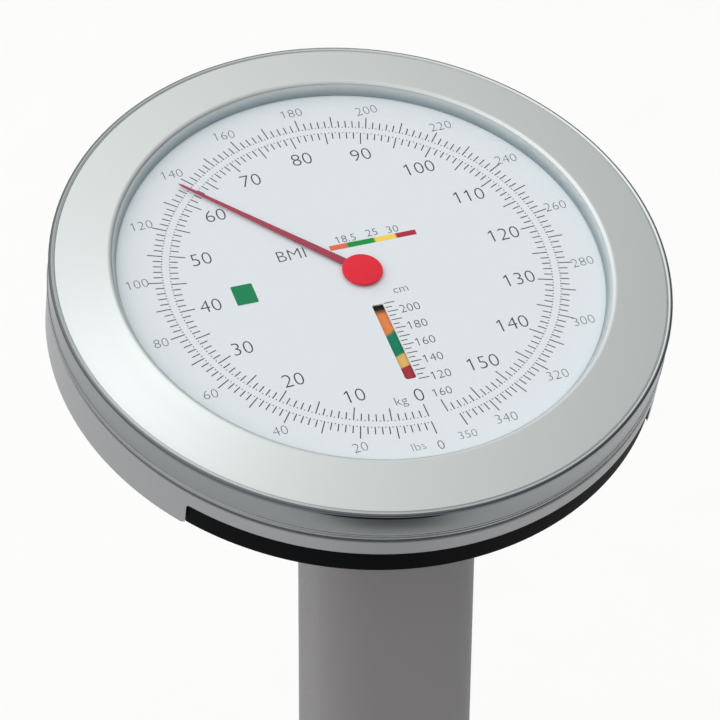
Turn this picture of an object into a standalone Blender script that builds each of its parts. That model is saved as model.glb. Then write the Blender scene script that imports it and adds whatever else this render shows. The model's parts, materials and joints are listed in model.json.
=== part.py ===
"""A mechanical column scale: lever base, oval column and a tilted round dial head.

Metres, +Z up. The user stands on the platform, at -Y, and faces the column.
The origin lies on the floor under the middle of the whole scale.
"""

import bmesh
import bpy
from math import asin, cos, pi, radians, sin, tan
from mathutils import Matrix

MM = 0.001

# Fits that the whole scale shares
GAP = 0.3 * MM
BEARING_GAP = 0.1 * MM
THREAD_GAP = 0.15 * MM
WELD_DISTANCE = 0.0003 * MM
OVERRUN = 2 * MM
RING_STEPS = 48
ROUND_STEPS = 16
FINE_STEPS = 32
SMALL_STEPS = 12
HEX_STEPS = 6

# Weighing range, and the load that the pointer shows at rest
FULL_LOAD_KG = 160.0
REST_LOAD_KG = 62.3
SCALE_TURN = radians(353.94)
ZERO_MARK_ANGLE = radians(-90.0)
REST_TURN_SHARE = REST_LOAD_KG / FULL_LOAD_KG

# Dial head, measured from the face of the dial along its normal
HEAD_TILT = radians(15.7)
DIAL_CENTRE_HEIGHT = 943 * MM
HEAD_SETBACK = 34 * MM
HEAD_RADIUS = 142 * MM
BEZEL_SHEET = 1.3 * MM
BEZEL_CREST_INSET = 27.1 * MM
BEZEL_CREST_RADIUS = HEAD_RADIUS - BEZEL_CREST_INSET
BEZEL_CREST_HEIGHT = 6.9 * MM
BEZEL_CREST_ROUND = 1.2 * MM
BEZEL_FACE_EDGE_INSET = 2.6 * MM
BEZEL_FACE_EDGE_RADIUS = HEAD_RADIUS - BEZEL_FACE_EDGE_INSET
BEZEL_FACE_EDGE_HEIGHT = 2.0 * MM
BEZEL_EDGE_ROUND = 1.3 * MM
BEZEL_SIDE_DEPTH = 12.7 * MM
BEZEL_BEAD_HEIGHT = 2.4 * MM
BEZEL_BEAD_STEP = 0.7 * MM
BEZEL_FOOT_DEPTH = 16.6 * MM
GLASS_TUCK = 1.6 * MM
GLASS_RADIUS = BEZEL_CREST_RADIUS + GLASS_TUCK
GLASS_THICKNESS = 2.0 * MM
GASKET_WIDTH = 2.6 * MM
SPACER_REACH = 3.0 * MM
SPACER_WIDTH = 7.8 * MM
SPACER_SLOPE = 1.7 * MM
SPACER_OUTER_RADIUS = GLASS_RADIUS + SPACER_REACH
SPACER_INNER_RADIUS = SPACER_OUTER_RADIUS - SPACER_WIDTH
SPACER_TOP_INNER_RADIUS = SPACER_INNER_RADIUS + SPACER_SLOPE
SPACER_HEIGHT = 2.7 * MM
DIAL_THICKNESS = 0.8 * MM
DIAL_HOLE_RADIUS = 2.6 * MM
SLOT_INNER_DISTANCE = 20.3 * MM
SLOT_OUTER_DISTANCE = 65.2 * MM
SLOT_WIDTH = 5.3 * MM
DISC_DEPTH = 1.6 * MM
DISC_THICKNESS = 0.5 * MM
DISC_RADIUS = 72 * MM
CARRIER_DEPTH = 4.0 * MM
CARRIER_THICKNESS = 2.0 * MM
HOUSING_SHEET = 1.4 * MM
HOUSING_DEPTH = 38.5 * MM
CUTOUT_DEPTH = 24.6 * MM
CUTOUT_HALF_ANGLE = radians(51.1)
LIP_GAP = 0.9 * MM
LIP_STEP = 1.2 * MM
LIP_CORNER = 3.0 * MM
COVER_WALL = 2.4 * MM
COVER_WALL_TOP = 22 * MM
TAB_LENGTH = 9 * MM
TAB_WIDTH = 16 * MM
TAB_THICKNESS = 1.6 * MM
TAB_SINK = 0.5 * MM
CORNER_ANGLES = (45, 135, 225, 315)

# Pointer and its arbor
POINTER_LIFT = 0.9 * MM
POINTER_THICKNESS = 0.5 * MM
POINTER_HUB_RADIUS = 9.0 * MM
POINTER_HUB_THICKNESS = 1.1 * MM
POINTER_TIP_INSET = 45.5 * MM
POINTER_LENGTH = HEAD_RADIUS - POINTER_TIP_INSET
POINTER_WIDTH = 3.3 * MM
POINTER_TIP_WIDTH = 0.7 * MM
ARBOR_RADIUS = 1.5 * MM
ARBOR_TIP = 0.9 * MM
BUSH_RADIUS = 5.0 * MM
BUSH_RECESS = 0.4 * MM

# Pinion and rack
GEAR_MODULE = 0.6 * MM
PINION_TEETH = 14
PINION_TOP_DEPTH = 9.0 * MM
PINION_WIDTH = 5.0 * MM
TOOTH_THINNING = 0.2 * MM
TOOTH_TIP_SHARE = 0.42
TOOTH_ROOT_SHARE = 1.15
TOOTH_CROWN_SHARE = 0.9
RACK_ROOT_SHARE = 1.25
RACK_TIP_SHARE = 1.2
RACK_WIDTH = 4.0 * MM
RACK_BACK = 5.0 * MM
RACK_END_SPARE = 2.0 * MM
FORK_LENGTH = 9.6 * MM
FORK_DEPTH = 9.0 * MM
FORK_CLEARANCE = 0.35 * MM
FORK_BRIDGE = 1.6 * MM
GUIDE_WALL = 2.0 * MM
GUIDE_LENGTH = 12 * MM
GUIDE_PLACE = 9.5 * MM
BRIDGE_DEPTH = 19 * MM
BRIDGE_THICKNESS = 2.0 * MM
BRIDGE_WIDTH = 8 * MM
BRIDGE_REACH = 24 * MM

# Bell crank in the column's head
CRANK_INPUT = 24 * MM
CRANK_OUTPUT = 50 * MM
CRANK_PIVOT_FROM_ROD = CRANK_INPUT
CRANK_THICKNESS = 3.0 * MM
CRANK_ARM_WIDTH = 7.0 * MM
CRANK_HUB_RADIUS = 6.0 * MM
CRANK_HUB_LENGTH = 12 * MM
CRANK_TIP_PIN_RADIUS = 1.5 * MM
CRANK_TIP_RADIUS = 3.2 * MM
CRANK_PIVOT_RADIUS = 2.5 * MM
CRANK_PIN_SPARE = 1.5 * MM
CLEVIS_PIN_RADIUS = 2.0 * MM
CLEVIS_SLOT_SPARE = 1.4 * MM

# Column: a flat-sided oval tube
COLUMN_WIDTH = 78 * MM
COLUMN_DEPTH = 66 * MM
COLUMN_WALL = 2.5 * MM
COLUMN_STEPS = 40
COLUMN_SQUARENESS_SHARE = 0.62

# Draw rod and measuring spring
ROD_FROM_AXIS = -6 * MM
ROD_RADIUS = 2.5 * MM
ROD_NUT_RADIUS = 7.0 * MM
ROD_NUT_HEIGHT = 5.0 * MM
ROD_TIP = 1.0 * MM
CLEVIS_LENGTH = 16 * MM
CLEVIS_CHEEK = 3.0 * MM
CLEVIS_DEPTH = 9.0 * MM
SPRING_WIRE = 3.2 * MM
SPRING_RADIUS = 14.5 * MM
SPRING_TURNS = 8
SPRING_STEPS = 10
SPRING_LENGTH = 95 * MM
SPRING_PLUG_HEIGHT = 9.0 * MM
SPRING_PLATE = 3.0 * MM
ANCHOR_PLATE_THICKNESS = 5.0 * MM

# Bracket that joins the head to the column
BRACKET_PLATE_RADIUS = 64 * MM
BRACKET_PLATE = 4.0 * MM
BRACKET_PLUG_WALL = 4.0 * MM
BRACKET_PLUG_LENGTH = 74 * MM
EAR_THICKNESS = 4.0 * MM
EAR_HEIGHT = 18 * MM
POST_RADIUS = 4.0 * MM
POST_CIRCLE = 52 * MM
COVER_OPENING_SPARE = 3 * MM
HEAD_SCREW_RADIUS = 2.5 * MM
HEAD_SCREW_HEAD_RADIUS = 4.6 * MM
HEAD_SCREW_HEAD = 2.2 * MM
HEAD_SCREW_PLACES_SHARE = (0.2, 0.5)

# Zero knob under the head
KNOB_RADIUS = 11 * MM
KNOB_HEIGHT = 10 * MM
KNOB_RIBS = 14
KNOB_RIB_DEPTH = 0.9 * MM
KNOB_SHAFT_RADIUS = 3.0 * MM
KNOB_INSET = 50 * MM
KNOB_FROM_CENTRE = HEAD_RADIUS - KNOB_INSET
KNOB_COLLAR_RADIUS = 7.0 * MM
KNOB_COLLAR = 3.0 * MM

# Base
BASE_WIDTH = 326 * MM
BASE_FRONT = 398 * MM
BASE_REAR = 88 * MM
BASE_CORNER = 22 * MM
BASE_WALL = 5 * MM
BASE_FLOOR = 4 * MM
BASE_HEIGHT = 44 * MM
DECK_FRONT = 46 * MM
DECK_THICKNESS = 4 * MM
DECK_HOLE_WIDTH = 34 * MM
DECK_HOLE_DEPTH = 30 * MM
FOOT_RADIUS = 19 * MM
FOOT_HEIGHT = 12 * MM
FOOT_TAPER = 3 * MM
FOOT_INSET = 34 * MM

# Levers: fulcrum to load edge, and fulcrum to nose
LEVER_LOAD_ARM = 50 * MM
FRONT_FULCRUM = 380 * MM
REAR_FULCRUM = 70 * MM
FULCRUM_INSET = 45 * MM
FULCRUM_SPREAD = BASE_WIDTH / 2 - FULCRUM_INSET
LEVER_BAR_WIDTH = 11 * MM
LONG_LEVER_BAR = 12 * MM
SHORT_LEVER_BAR = 10 * MM
LONG_LEVER_LIFT = 16 * MM
SHORT_LEVER_RISE = 8 * MM
NOSE_RADIUS = 14 * MM
SHORT_NOSE_RADIUS = 11 * MM
CROSS_BAR_WIDTH = 16 * MM
KNIFE_HALF_DIAGONAL = 5.4 * MM
KNIFE_LENGTH = 32 * MM
STAND_WIDTH = 16 * MM
STAND_LENGTH = 15 * MM
NOTCH_HALF_ANGLE = radians(58)
NOTCH_CHEEK = 3.6 * MM
LINK_RADIUS = 7 * MM

# Platform
TRAY_OVERHANG = 10 * MM
TRAY_WIDTH = BASE_WIDTH + 2 * TRAY_OVERHANG
TRAY_FRONT = 405 * MM
TRAY_REAR = 52 * MM
TRAY_CORNER = 26 * MM
TRAY_BACK_CORNER = 10 * MM
TRAY_SHEET = 3 * MM
TRAY_UNDERSIDE = 82 * MM
TRAY_SKIRT = 34 * MM
TRAY_REAR_SKIRT = 14 * MM
MAT_THICKNESS = 4.5 * MM
MAT_INSET = 5 * MM
MAT_RIBS = 22
MAT_RIB_DEPTH = 1.6 * MM
MAT_GROOVE_SHARE = 0.3

# Column foot
FLANGE_WIDTH = 150 * MM
FLANGE_DEPTH = 76 * MM
FLANGE_THICKNESS = 8 * MM
FLANGE_CORNER = 10 * MM
SOCKET_HEIGHT = 60 * MM
SOCKET_WALL = 5 * MM
BOLT_RADIUS = 4 * MM
BOLT_HEAD_RADIUS = 6.5 * MM
BOLT_HEAD = 5 * MM
BOLT_INSET = 12 * MM
SHROUD_WIDTH = 208 * MM
SHROUD_FRONT = 46 * MM
SHROUD_REAR = 84 * MM
SHROUD_CORNER = 24 * MM
SHROUD_HEIGHT = 62 * MM
SHROUD_TOP_SPARE = 4 * MM
SHROUD_WALL = 3 * MM
# Share of the way in to the column, and share of the height
SHROUD_LEVEL_SHARES = ((0.0, 0.0), (0.12, 0.42), (0.5, 0.72), (1.0, 1.0))

# Transport castors on the back of the base
WHEEL_RADIUS = 25 * MM
WHEEL_WIDTH = 18 * MM
TYRE_THICKNESS = 5 * MM
WHEEL_CLEAR_OF_FLOOR = 7 * MM
WHEEL_SPREAD = 100 * MM
AXLE_RADIUS = 4 * MM
FORK_SHEET = 3 * MM
FORK_SIDE_GAP = 1.5 * MM
FORK_HEIGHT = 26 * MM
AXLE_HEAD_RADIUS = 6 * MM
AXLE_HEAD = 2 * MM

# Places that follow from the sizes above
HEAD_REACH_BACK = (
    HEAD_SETBACK + (HEAD_RADIUS - GAP) * cos(HEAD_TILT) + HOUSING_DEPTH * sin(HEAD_TILT)
)
COLUMN_Y = (TRAY_FRONT - HEAD_REACH_BACK) / 2
PITCH_RADIUS = GEAR_MODULE * PINION_TEETH / 2
TOOTH_PITCH = pi * GEAR_MODULE
RACK_TRAVEL = PITCH_RADIUS * SCALE_TURN
CRANK_SWING = RACK_TRAVEL / CRANK_OUTPUT
CRANK_REST_ANGLE = (REST_TURN_SHARE - 1 / 2) * CRANK_SWING
POINTER_REST_ANGLE = ZERO_MARK_ANGLE - REST_TURN_SHARE * SCALE_TURN
HOUSING_INNER_RADIUS = HEAD_RADIUS - BEZEL_SHEET - BEZEL_BEAD_STEP - GAP - HOUSING_SHEET
HOUSING_TOP = BEZEL_FACE_EDGE_HEIGHT - BEZEL_SHEET - 2 * GAP
GLASS_BOTTOM = SPACER_HEIGHT + GAP
GLASS_TOP = GLASS_BOTTOM + GLASS_THICKNESS
CARRIER_TOP = -CARRIER_DEPTH
CARRIER_BOTTOM = -CARRIER_DEPTH - CARRIER_THICKNESS
COVER_FLOOR_TOP = -HOUSING_DEPTH + COVER_WALL
PLATE_BOTTOM = COVER_FLOOR_TOP + GAP
PLATE_TOP = PLATE_BOTTOM + BRACKET_PLATE
RACK_TOP = -PINION_TOP_DEPTH - (PINION_WIDTH - RACK_WIDTH) / 2
RACK_MIDDLE = RACK_TOP - RACK_WIDTH / 2
RACK_FACE = PITCH_RADIUS + RACK_ROOT_SHARE * GEAR_MODULE
CRANK_PIVOT_Y = ROD_FROM_AXIS + CRANK_PIVOT_FROM_ROD
CRANK_PIVOT_DROP = (
    RACK_MIDDLE - CRANK_OUTPUT + (CRANK_PIVOT_Y - HEAD_SETBACK) * sin(HEAD_TILT)
) / cos(HEAD_TILT)
CRANK_PIVOT_Z = DIAL_CENTRE_HEIGHT + CRANK_PIVOT_DROP
CRANK_PIVOT_ALONG_DIAL = (
    (CRANK_PIVOT_Y - HEAD_SETBACK) * cos(HEAD_TILT) + CRANK_PIVOT_DROP * sin(HEAD_TILT)
)
RACK_REST_SHIFT = (1 / 2 - REST_TURN_SHARE) * RACK_TRAVEL
FORK_PLACE = CRANK_PIVOT_ALONG_DIAL + RACK_REST_SHIFT
BASE_BOTTOM = FOOT_HEIGHT
FLOOR_TOP = BASE_BOTTOM + BASE_FLOOR
BASE_TOP = BASE_BOTTOM + BASE_HEIGHT
DECK_TOP = BASE_TOP + DECK_THICKNESS
LONG_LEVER_BOTTOM = FLOOR_TOP + LONG_LEVER_LIFT
LONG_LEVER_TOP = LONG_LEVER_BOTTOM + LONG_LEVER_BAR
LONG_LEVER_MIDDLE = LONG_LEVER_BOTTOM + LONG_LEVER_BAR / 2
SHORT_LEVER_BOTTOM = LONG_LEVER_TOP + SHORT_LEVER_RISE
SHORT_LEVER_TOP = SHORT_LEVER_BOTTOM + SHORT_LEVER_BAR
SHORT_LEVER_MIDDLE = SHORT_LEVER_BOTTOM + SHORT_LEVER_BAR / 2
LONG_LEVER_LENGTH = FRONT_FULCRUM + ROD_FROM_AXIS
SHORT_LEVER_LENGTH = (FRONT_FULCRUM - REAR_FULCRUM) / 2
SHORT_NOSE_Y = -REAR_FULCRUM - SHORT_LEVER_LENGTH
FRONT_LOAD_Y = -FRONT_FULCRUM + LEVER_LOAD_ARM
REAR_LOAD_Y = -REAR_FULCRUM - LEVER_LOAD_ARM
FRONT_LOAD_SPREAD = FULCRUM_SPREAD * (1 - LEVER_LOAD_ARM / LONG_LEVER_LENGTH)
REAR_LOAD_SPREAD = FULCRUM_SPREAD * (1 - LEVER_LOAD_ARM / SHORT_LEVER_LENGTH)
TRAY_TOP = TRAY_UNDERSIDE + TRAY_SHEET
FLANGE_BOTTOM = DECK_TOP + GAP
FLANGE_TOP = FLANGE_BOTTOM + FLANGE_THICKNESS
COLUMN_BOTTOM = FLANGE_TOP + GAP
PLUG_WIDTH = COLUMN_WIDTH - 2 * COLUMN_WALL - 2 * GAP
PLUG_DEPTH = COLUMN_DEPTH - 2 * COLUMN_WALL - 2 * GAP
HEAD_BOTTOM_AT_COLUMN = DIAL_CENTRE_HEIGHT - (HOUSING_DEPTH + HEAD_SETBACK * sin(HEAD_TILT)) / cos(HEAD_TILT)
PLUG_BOTTOM = HEAD_BOTTOM_AT_COLUMN - BRACKET_PLUG_LENGTH
ANCHOR_TOP = PLUG_BOTTOM - GAP
ANCHOR_BOTTOM = ANCHOR_TOP - ANCHOR_PLATE_THICKNESS
SPRING_TOP = ANCHOR_BOTTOM - GAP - SPRING_WIRE / 2
SPRING_BOTTOM = SPRING_TOP - SPRING_LENGTH
WHEEL_Z = WHEEL_CLEAR_OF_FLOOR + WHEEL_RADIUS
WHEEL_Y = BASE_REAR + GAP + FORK_SHEET + FORK_SIDE_GAP + WHEEL_RADIUS
KNOB_ANGLE = radians(-150.0)


def clear_scene():
    for found in list(bpy.data.objects):
        bpy.data.objects.remove(found, do_unlink=True)


def finish(name, red, green, blue, roughness, metallic=0.0, alpha=1.0):
    """A Principled material with the piece's colour."""
    made = bpy.data.materials.new(name)
    made.use_nodes = True
    shader = made.node_tree.nodes["Principled BSDF"]
    shader.inputs["Base Color"].default_value = (red, green, blue, 1.0)
    shader.inputs["Roughness"].default_value = roughness
    shader.inputs["Metallic"].default_value = metallic
    shader.inputs["Alpha"].default_value = alpha
    made.diffuse_color = (red, green, blue, alpha)
    return made


def empty(name, place, tilt=0.0):
    made = bpy.data.objects.new(name, None)
    made.location = place
    made.rotation_euler = (tilt, 0.0, 0.0)
    bpy.context.scene.collection.objects.link(made)
    return made


def place_mesh(name, mesh_maker, parent, material, place=(0, 0, 0), turn=(0, 0, 0)):
    """Turns a bmesh into a named object under its parent, shaded smooth with sharp edges kept."""
    bmesh.ops.recalc_face_normals(mesh_maker, faces=mesh_maker.faces)
    mesh = bpy.data.meshes.new(name)
    mesh_maker.to_mesh(mesh)
    mesh_maker.free()
    mesh.shade_smooth()
    mesh.set_sharp_from_angle(angle=radians(30))
    made = bpy.data.objects.new(name, mesh)
    made.parent = parent
    made.location = place
    made.rotation_euler = turn
    if material is not None:
        mesh.materials.append(material)
    bpy.context.scene.collection.objects.link(made)
    return made


def copies(names, mesh_maker, parent, material, places):
    """One object for each place. They share a mesh and a finish."""
    first = place_mesh(names[0], mesh_maker, parent, material, places[0])
    for name, place in zip(names[1:], places[1:]):
        made = first.copy()
        made.name = name
        made.location = place
        bpy.context.scene.collection.objects.link(made)


def turned(profile, steps=RING_STEPS):
    """A closed (radius, height) outline spun round Z. Points on the axis close it as a solid."""
    made = bmesh.new()
    points = [made.verts.new((radius, 0.0, height)) for radius, height in profile]
    edges = [made.edges.new((points[i - 1], points[i])) for i in range(len(points))]
    bmesh.ops.spin(
        made,
        geom=points + edges,
        cent=(0, 0, 0),
        axis=(0, 0, 1),
        angle=2 * pi,
        steps=steps,
        use_merge=True,
    )
    bmesh.ops.remove_doubles(made, verts=made.verts, dist=WELD_DISTANCE)
    bmesh.ops.dissolve_degenerate(made, edges=made.edges, dist=WELD_DISTANCE)
    inside = [edge for edge in made.edges if not edge.is_manifold and edge.is_wire]
    bmesh.ops.delete(made, geom=inside, context="EDGES")
    flat = [face for face in made.faces if len(face.edges) > 2 and on_axis_only(face)]
    bmesh.ops.delete(made, geom=flat, context="FACES")
    return made


def on_axis_only(face):
    return all(abs(v.co.x) + abs(v.co.y) < 10 * WELD_DISTANCE for v in face.verts)


def looped(rings):
    """A closed skin over rings of points, from each ring to the next and from the last back to the first."""
    made = bmesh.new()
    loops = [[made.verts.new(point) for point in points] for points in rings]
    for number, high in enumerate(loops):
        low = loops[number - 1]
        for i in range(len(low)):
            made.faces.new((low[i - 1], low[i], high[i], high[i - 1]))
    return made


def repeated(original, places):
    """Copies of one shape at several places, in one mesh: a tool that adds or cuts them all."""
    pattern = bpy.data.meshes.new("pattern")
    original.to_mesh(pattern)
    original.free()
    made = bmesh.new()
    for place in places:
        before = set(made.verts)
        made.from_mesh(pattern)
        bmesh.ops.translate(made, verts=[v for v in made.verts if v not in before], vec=place)
    bpy.data.meshes.remove(pattern)
    return made


def ring(inner, outer, bottom, top, steps=RING_STEPS):
    return turned([(inner, bottom), (outer, bottom), (outer, top), (inner, top)], steps)


def drum(radius, bottom, top, steps=ROUND_STEPS):
    """A plain round solid along Z."""
    made = bmesh.new()
    middle = Matrix.Translation((0, 0, (bottom + top) / 2))
    bmesh.ops.create_cone(
        made,
        cap_ends=True,
        segments=steps,
        radius1=radius,
        radius2=radius,
        depth=top - bottom,
        matrix=middle,
    )
    return made


def drum_across(radius, left, right, steps=ROUND_STEPS, centre_y=0.0, centre_z=0.0):
    """A plain round solid along X."""
    made = drum(radius, left, right, steps)
    bmesh.ops.rotate(made, verts=made.verts, matrix=Matrix.Rotation(pi / 2, 3, "Y"))
    bmesh.ops.translate(made, verts=made.verts, vec=(0, centre_y, centre_z))
    return made


def extruded(outline, bottom, top):
    """An (x, y) outline raised along Z."""
    made = bmesh.new()
    face = made.faces.new([made.verts.new((x, y, bottom)) for x, y in outline])
    raised = bmesh.ops.extrude_face_region(made, geom=[face])["geom"]
    moved = [item for item in raised if isinstance(item, bmesh.types.BMVert)]
    bmesh.ops.translate(made, verts=moved, vec=(0, 0, top - bottom))
    return made


def extruded_across(outline, left, right):
    """A (y, z) outline extruded along X."""
    made = extruded(outline, left, right)
    for point in made.verts:
        point.co = (point.co.z, point.co.x, point.co.y)
    return made


def block(low, high):
    outline = [(low[0], low[1]), (high[0], low[1]), (high[0], high[1]), (low[0], high[1])]
    return extruded(outline, low[2], high[2])


def rounded_box_outline(left, right, front, back, corner, back_corner=None, steps=5):
    """An outline with four round corners, anticlockwise. The back pair can have its own radius."""
    rear = corner if back_corner is None else back_corner
    points = []
    for centre_x, centre_y, radius, start in (
        (right - corner, front + corner, corner, -pi / 2),
        (right - rear, back - rear, rear, 0.0),
        (left + rear, back - rear, rear, pi / 2),
        (left + corner, front + corner, corner, pi),
    ):
        for step in range(steps + 1):
            angle = start + step / steps * pi / 2
            points.append((centre_x + radius * cos(angle), centre_y + radius * sin(angle)))
    return points


def oval_outline(width, depth, steps=COLUMN_STEPS):
    """The column's oval: a superellipse between an ellipse and a rounded box."""
    points = []
    for step in range(steps):
        angle = 2 * pi * (step + 1 / 2) / steps
        across = abs(cos(angle)) ** COLUMN_SQUARENESS_SHARE
        along = abs(sin(angle)) ** COLUMN_SQUARENESS_SHARE
        sign_x = 1 if cos(angle) > 0 else -1
        sign_y = 1 if sin(angle) > 0 else -1
        points.append((sign_x * across * width / 2, sign_y * along * depth / 2))
    return points


def boolean(target, tool, operation="DIFFERENCE"):
    """A live Boolean. The tool stays in the file as a hidden wire helper."""
    cut = target.modifiers.new(tool.name, "BOOLEAN")
    cut.operation = operation
    cut.object = tool
    tool.hide_render = True
    tool.display_type = "WIRE"


def helper(target, name, mesh_maker, operation="DIFFERENCE", place=(0, 0, 0), turn=(0, 0, 0)):
    """Adds or cuts a shape that sits beside its target, under the same parent."""
    tool = place_mesh(f"{target.name}_{name}", mesh_maker, target.parent, None, place, turn)
    boolean(target, tool, operation)
    return tool


def arc(centre, radius, start, end, steps):
    """Points on an arc in (radius, height), from start to end in radians."""
    angles = [start + (end - start) * step / steps for step in range(steps + 1)]
    return [(centre[0] + radius * cos(angle), centre[1] + radius * sin(angle)) for angle in angles]


def make_finishes():
    return {
        "steel": finish("satin_steel", 0.74, 0.75, 0.74, 0.28, 1.0),
        "housing": finish("grey_painted_steel", 0.36, 0.37, 0.38, 0.4, 0.6),
        "black": finish("black_plastic", 0.02, 0.022, 0.025, 0.45),
        "glass": finish("clear_glass", 0.85, 0.93, 0.94, 0.03, 0.0, 0.3),
        "white": finish("white_dial", 0.8, 0.83, 0.87, 0.5),
        "spacer": finish("grey_spacer", 0.4, 0.45, 0.46, 0.4),
        "red": finish("red_pointer", 0.7, 0.03, 0.07, 0.4),
        "disc": finish("coloured_disc", 0.75, 0.45, 0.12, 0.5),
        "rubber": finish("black_rubber", 0.025, 0.025, 0.027, 0.8),
        "zinc": finish("zinc_plated_steel", 0.6, 0.6, 0.58, 0.35, 1.0),
        "brass": finish("brass", 0.75, 0.55, 0.25, 0.3, 1.0),
        "cast": finish("cast_aluminium", 0.5, 0.5, 0.51, 0.55, 1.0),
        "column": finish("grey_column_paint", 0.24, 0.24, 0.245, 0.45),
        "base": finish("grey_base_paint", 0.2, 0.2, 0.205, 0.55),
        "shroud": finish("grey_moulding", 0.22, 0.22, 0.225, 0.5),
        "iron": finish("painted_cast_iron", 0.12, 0.12, 0.125, 0.6),
        "wheel": finish("grey_wheel_plastic", 0.3, 0.3, 0.31, 0.5),
    }


def face_height(radius):
    """Height of the bezel's sloping face."""
    slope = (BEZEL_CREST_HEIGHT - BEZEL_FACE_EDGE_HEIGHT) / (BEZEL_FACE_EDGE_RADIUS - BEZEL_CREST_RADIUS)
    return BEZEL_CREST_HEIGHT - (radius - BEZEL_CREST_RADIUS) * slope


def bezel_profile():
    """The pressed ring: rounded crest, sloping face, polished edge, side, rolled bead and turned foot."""
    crest_centre = (BEZEL_CREST_RADIUS, BEZEL_CREST_HEIGHT - BEZEL_CREST_ROUND)
    edge_centre = (HEAD_RADIUS - BEZEL_EDGE_ROUND, BEZEL_FACE_EDGE_HEIGHT - BEZEL_EDGE_ROUND)
    inner_wall = HEAD_RADIUS - BEZEL_SHEET
    outside = arc(crest_centre, BEZEL_CREST_ROUND, pi, pi / 2, 3)
    outside.append((BEZEL_FACE_EDGE_RADIUS, BEZEL_FACE_EDGE_HEIGHT))
    outside += arc(edge_centre, BEZEL_EDGE_ROUND, pi / 3, 0, 2)
    outside += [
        (HEAD_RADIUS, -BEZEL_SIDE_DEPTH),
        (HEAD_RADIUS - BEZEL_BEAD_STEP, -BEZEL_SIDE_DEPTH - BEZEL_BEAD_STEP),
        (HEAD_RADIUS, -BEZEL_SIDE_DEPTH - BEZEL_BEAD_HEIGHT),
        (HEAD_RADIUS - BEZEL_BEAD_STEP, -BEZEL_FOOT_DEPTH),
    ]
    gasket_edge = GLASS_RADIUS + GASKET_WIDTH
    inside = [
        (inner_wall - BEZEL_BEAD_STEP, -BEZEL_FOOT_DEPTH),
        (inner_wall - BEZEL_BEAD_STEP, face_height(inner_wall) - BEZEL_SHEET),
        (gasket_edge, face_height(gasket_edge) - BEZEL_SHEET),
        (GLASS_RADIUS, GLASS_TOP + GAP),
        (BEZEL_CREST_RADIUS - BEZEL_CREST_ROUND, GLASS_TOP + GAP),
    ]
    return outside + inside


def dial_point(distance, angle):
    return (distance * cos(angle), distance * sin(angle))


def quad_along(angle, start, end, width):
    """A straight strip on the dial, from one distance to another, at an angle."""
    side = width / 2
    corners = []
    for distance, offset in ((start, -side), (end, -side), (end, side), (start, side)):
        x, y = dial_point(distance, angle)
        corners.append((x - offset * sin(angle), y + offset * cos(angle)))
    return corners


def build_bezel(head, finishes):
    place_mesh("bezel_ring", turned(bezel_profile()), head, finishes["steel"])
    glass = drum(GLASS_RADIUS, GLASS_BOTTOM, GLASS_TOP, RING_STEPS)
    place_mesh("dial_glass", glass, head, finishes["glass"])
    gasket_outer = GLASS_RADIUS + GASKET_WIDTH - GAP
    gasket_top = face_height(gasket_outer) - BEZEL_SHEET - GAP
    gasket = ring(GLASS_RADIUS + GAP, gasket_outer, GLASS_BOTTOM, gasket_top)
    place_mesh("glass_gasket", gasket, head, finishes["rubber"])
    spacer = turned(
        [
            (SPACER_INNER_RADIUS, GAP),
            (SPACER_OUTER_RADIUS, GAP),
            (SPACER_OUTER_RADIUS, SPACER_HEIGHT),
            (SPACER_TOP_INNER_RADIUS, SPACER_HEIGHT),
        ]
    )
    place_mesh("spacer_ring", spacer, head, finishes["spacer"])


def build_dial(head, finishes):
    sheet = ring(DIAL_HOLE_RADIUS, SPACER_OUTER_RADIUS, -DIAL_THICKNESS, 0)
    dial = place_mesh("dial_face", sheet, head, finishes["white"])
    slot = quad_along(ZERO_MARK_ANGLE, SLOT_INNER_DISTANCE, SLOT_OUTER_DISTANCE, SLOT_WIDTH)
    helper(dial, "slot", extruded(slot, -DIAL_THICKNESS - OVERRUN, OVERRUN))


def build_carrier(head, finishes):
    """The plate that carries dial, bearing and rack, on the bracket's four posts."""
    carrier_radius = HOUSING_INNER_RADIUS - GAP
    rim_inner = DISC_RADIUS + OVERRUN
    rim_outer = SPACER_OUTER_RADIUS - GASKET_WIDTH
    rim_top = -DIAL_THICKNESS - GAP
    profile = [
        (BUSH_RADIUS + GAP, CARRIER_BOTTOM),
        (carrier_radius, CARRIER_BOTTOM),
        (carrier_radius, CARRIER_TOP),
        (rim_outer, CARRIER_TOP),
        (rim_outer, rim_top),
        (rim_inner, rim_top),
        (rim_inner, CARRIER_TOP),
        (BUSH_RADIUS + GAP, CARRIER_TOP),
    ]
    place_mesh("carrier_plate", turned(profile), head, finishes["cast"])
    bush = turned(
        [
            (ARBOR_RADIUS + BEARING_GAP, CARRIER_BOTTOM),
            (BUSH_RADIUS, CARRIER_BOTTOM),
            (BUSH_RADIUS, CARRIER_TOP - BUSH_RECESS),
            (ARBOR_RADIUS + BEARING_GAP, CARRIER_TOP - BUSH_RECESS),
        ],
        ROUND_STEPS,
    )
    place_mesh("arbor_bush", bush, head, finishes["brass"])
    build_arbor_bridge(head, finishes)
    build_rack_guide(head, finishes)


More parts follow.
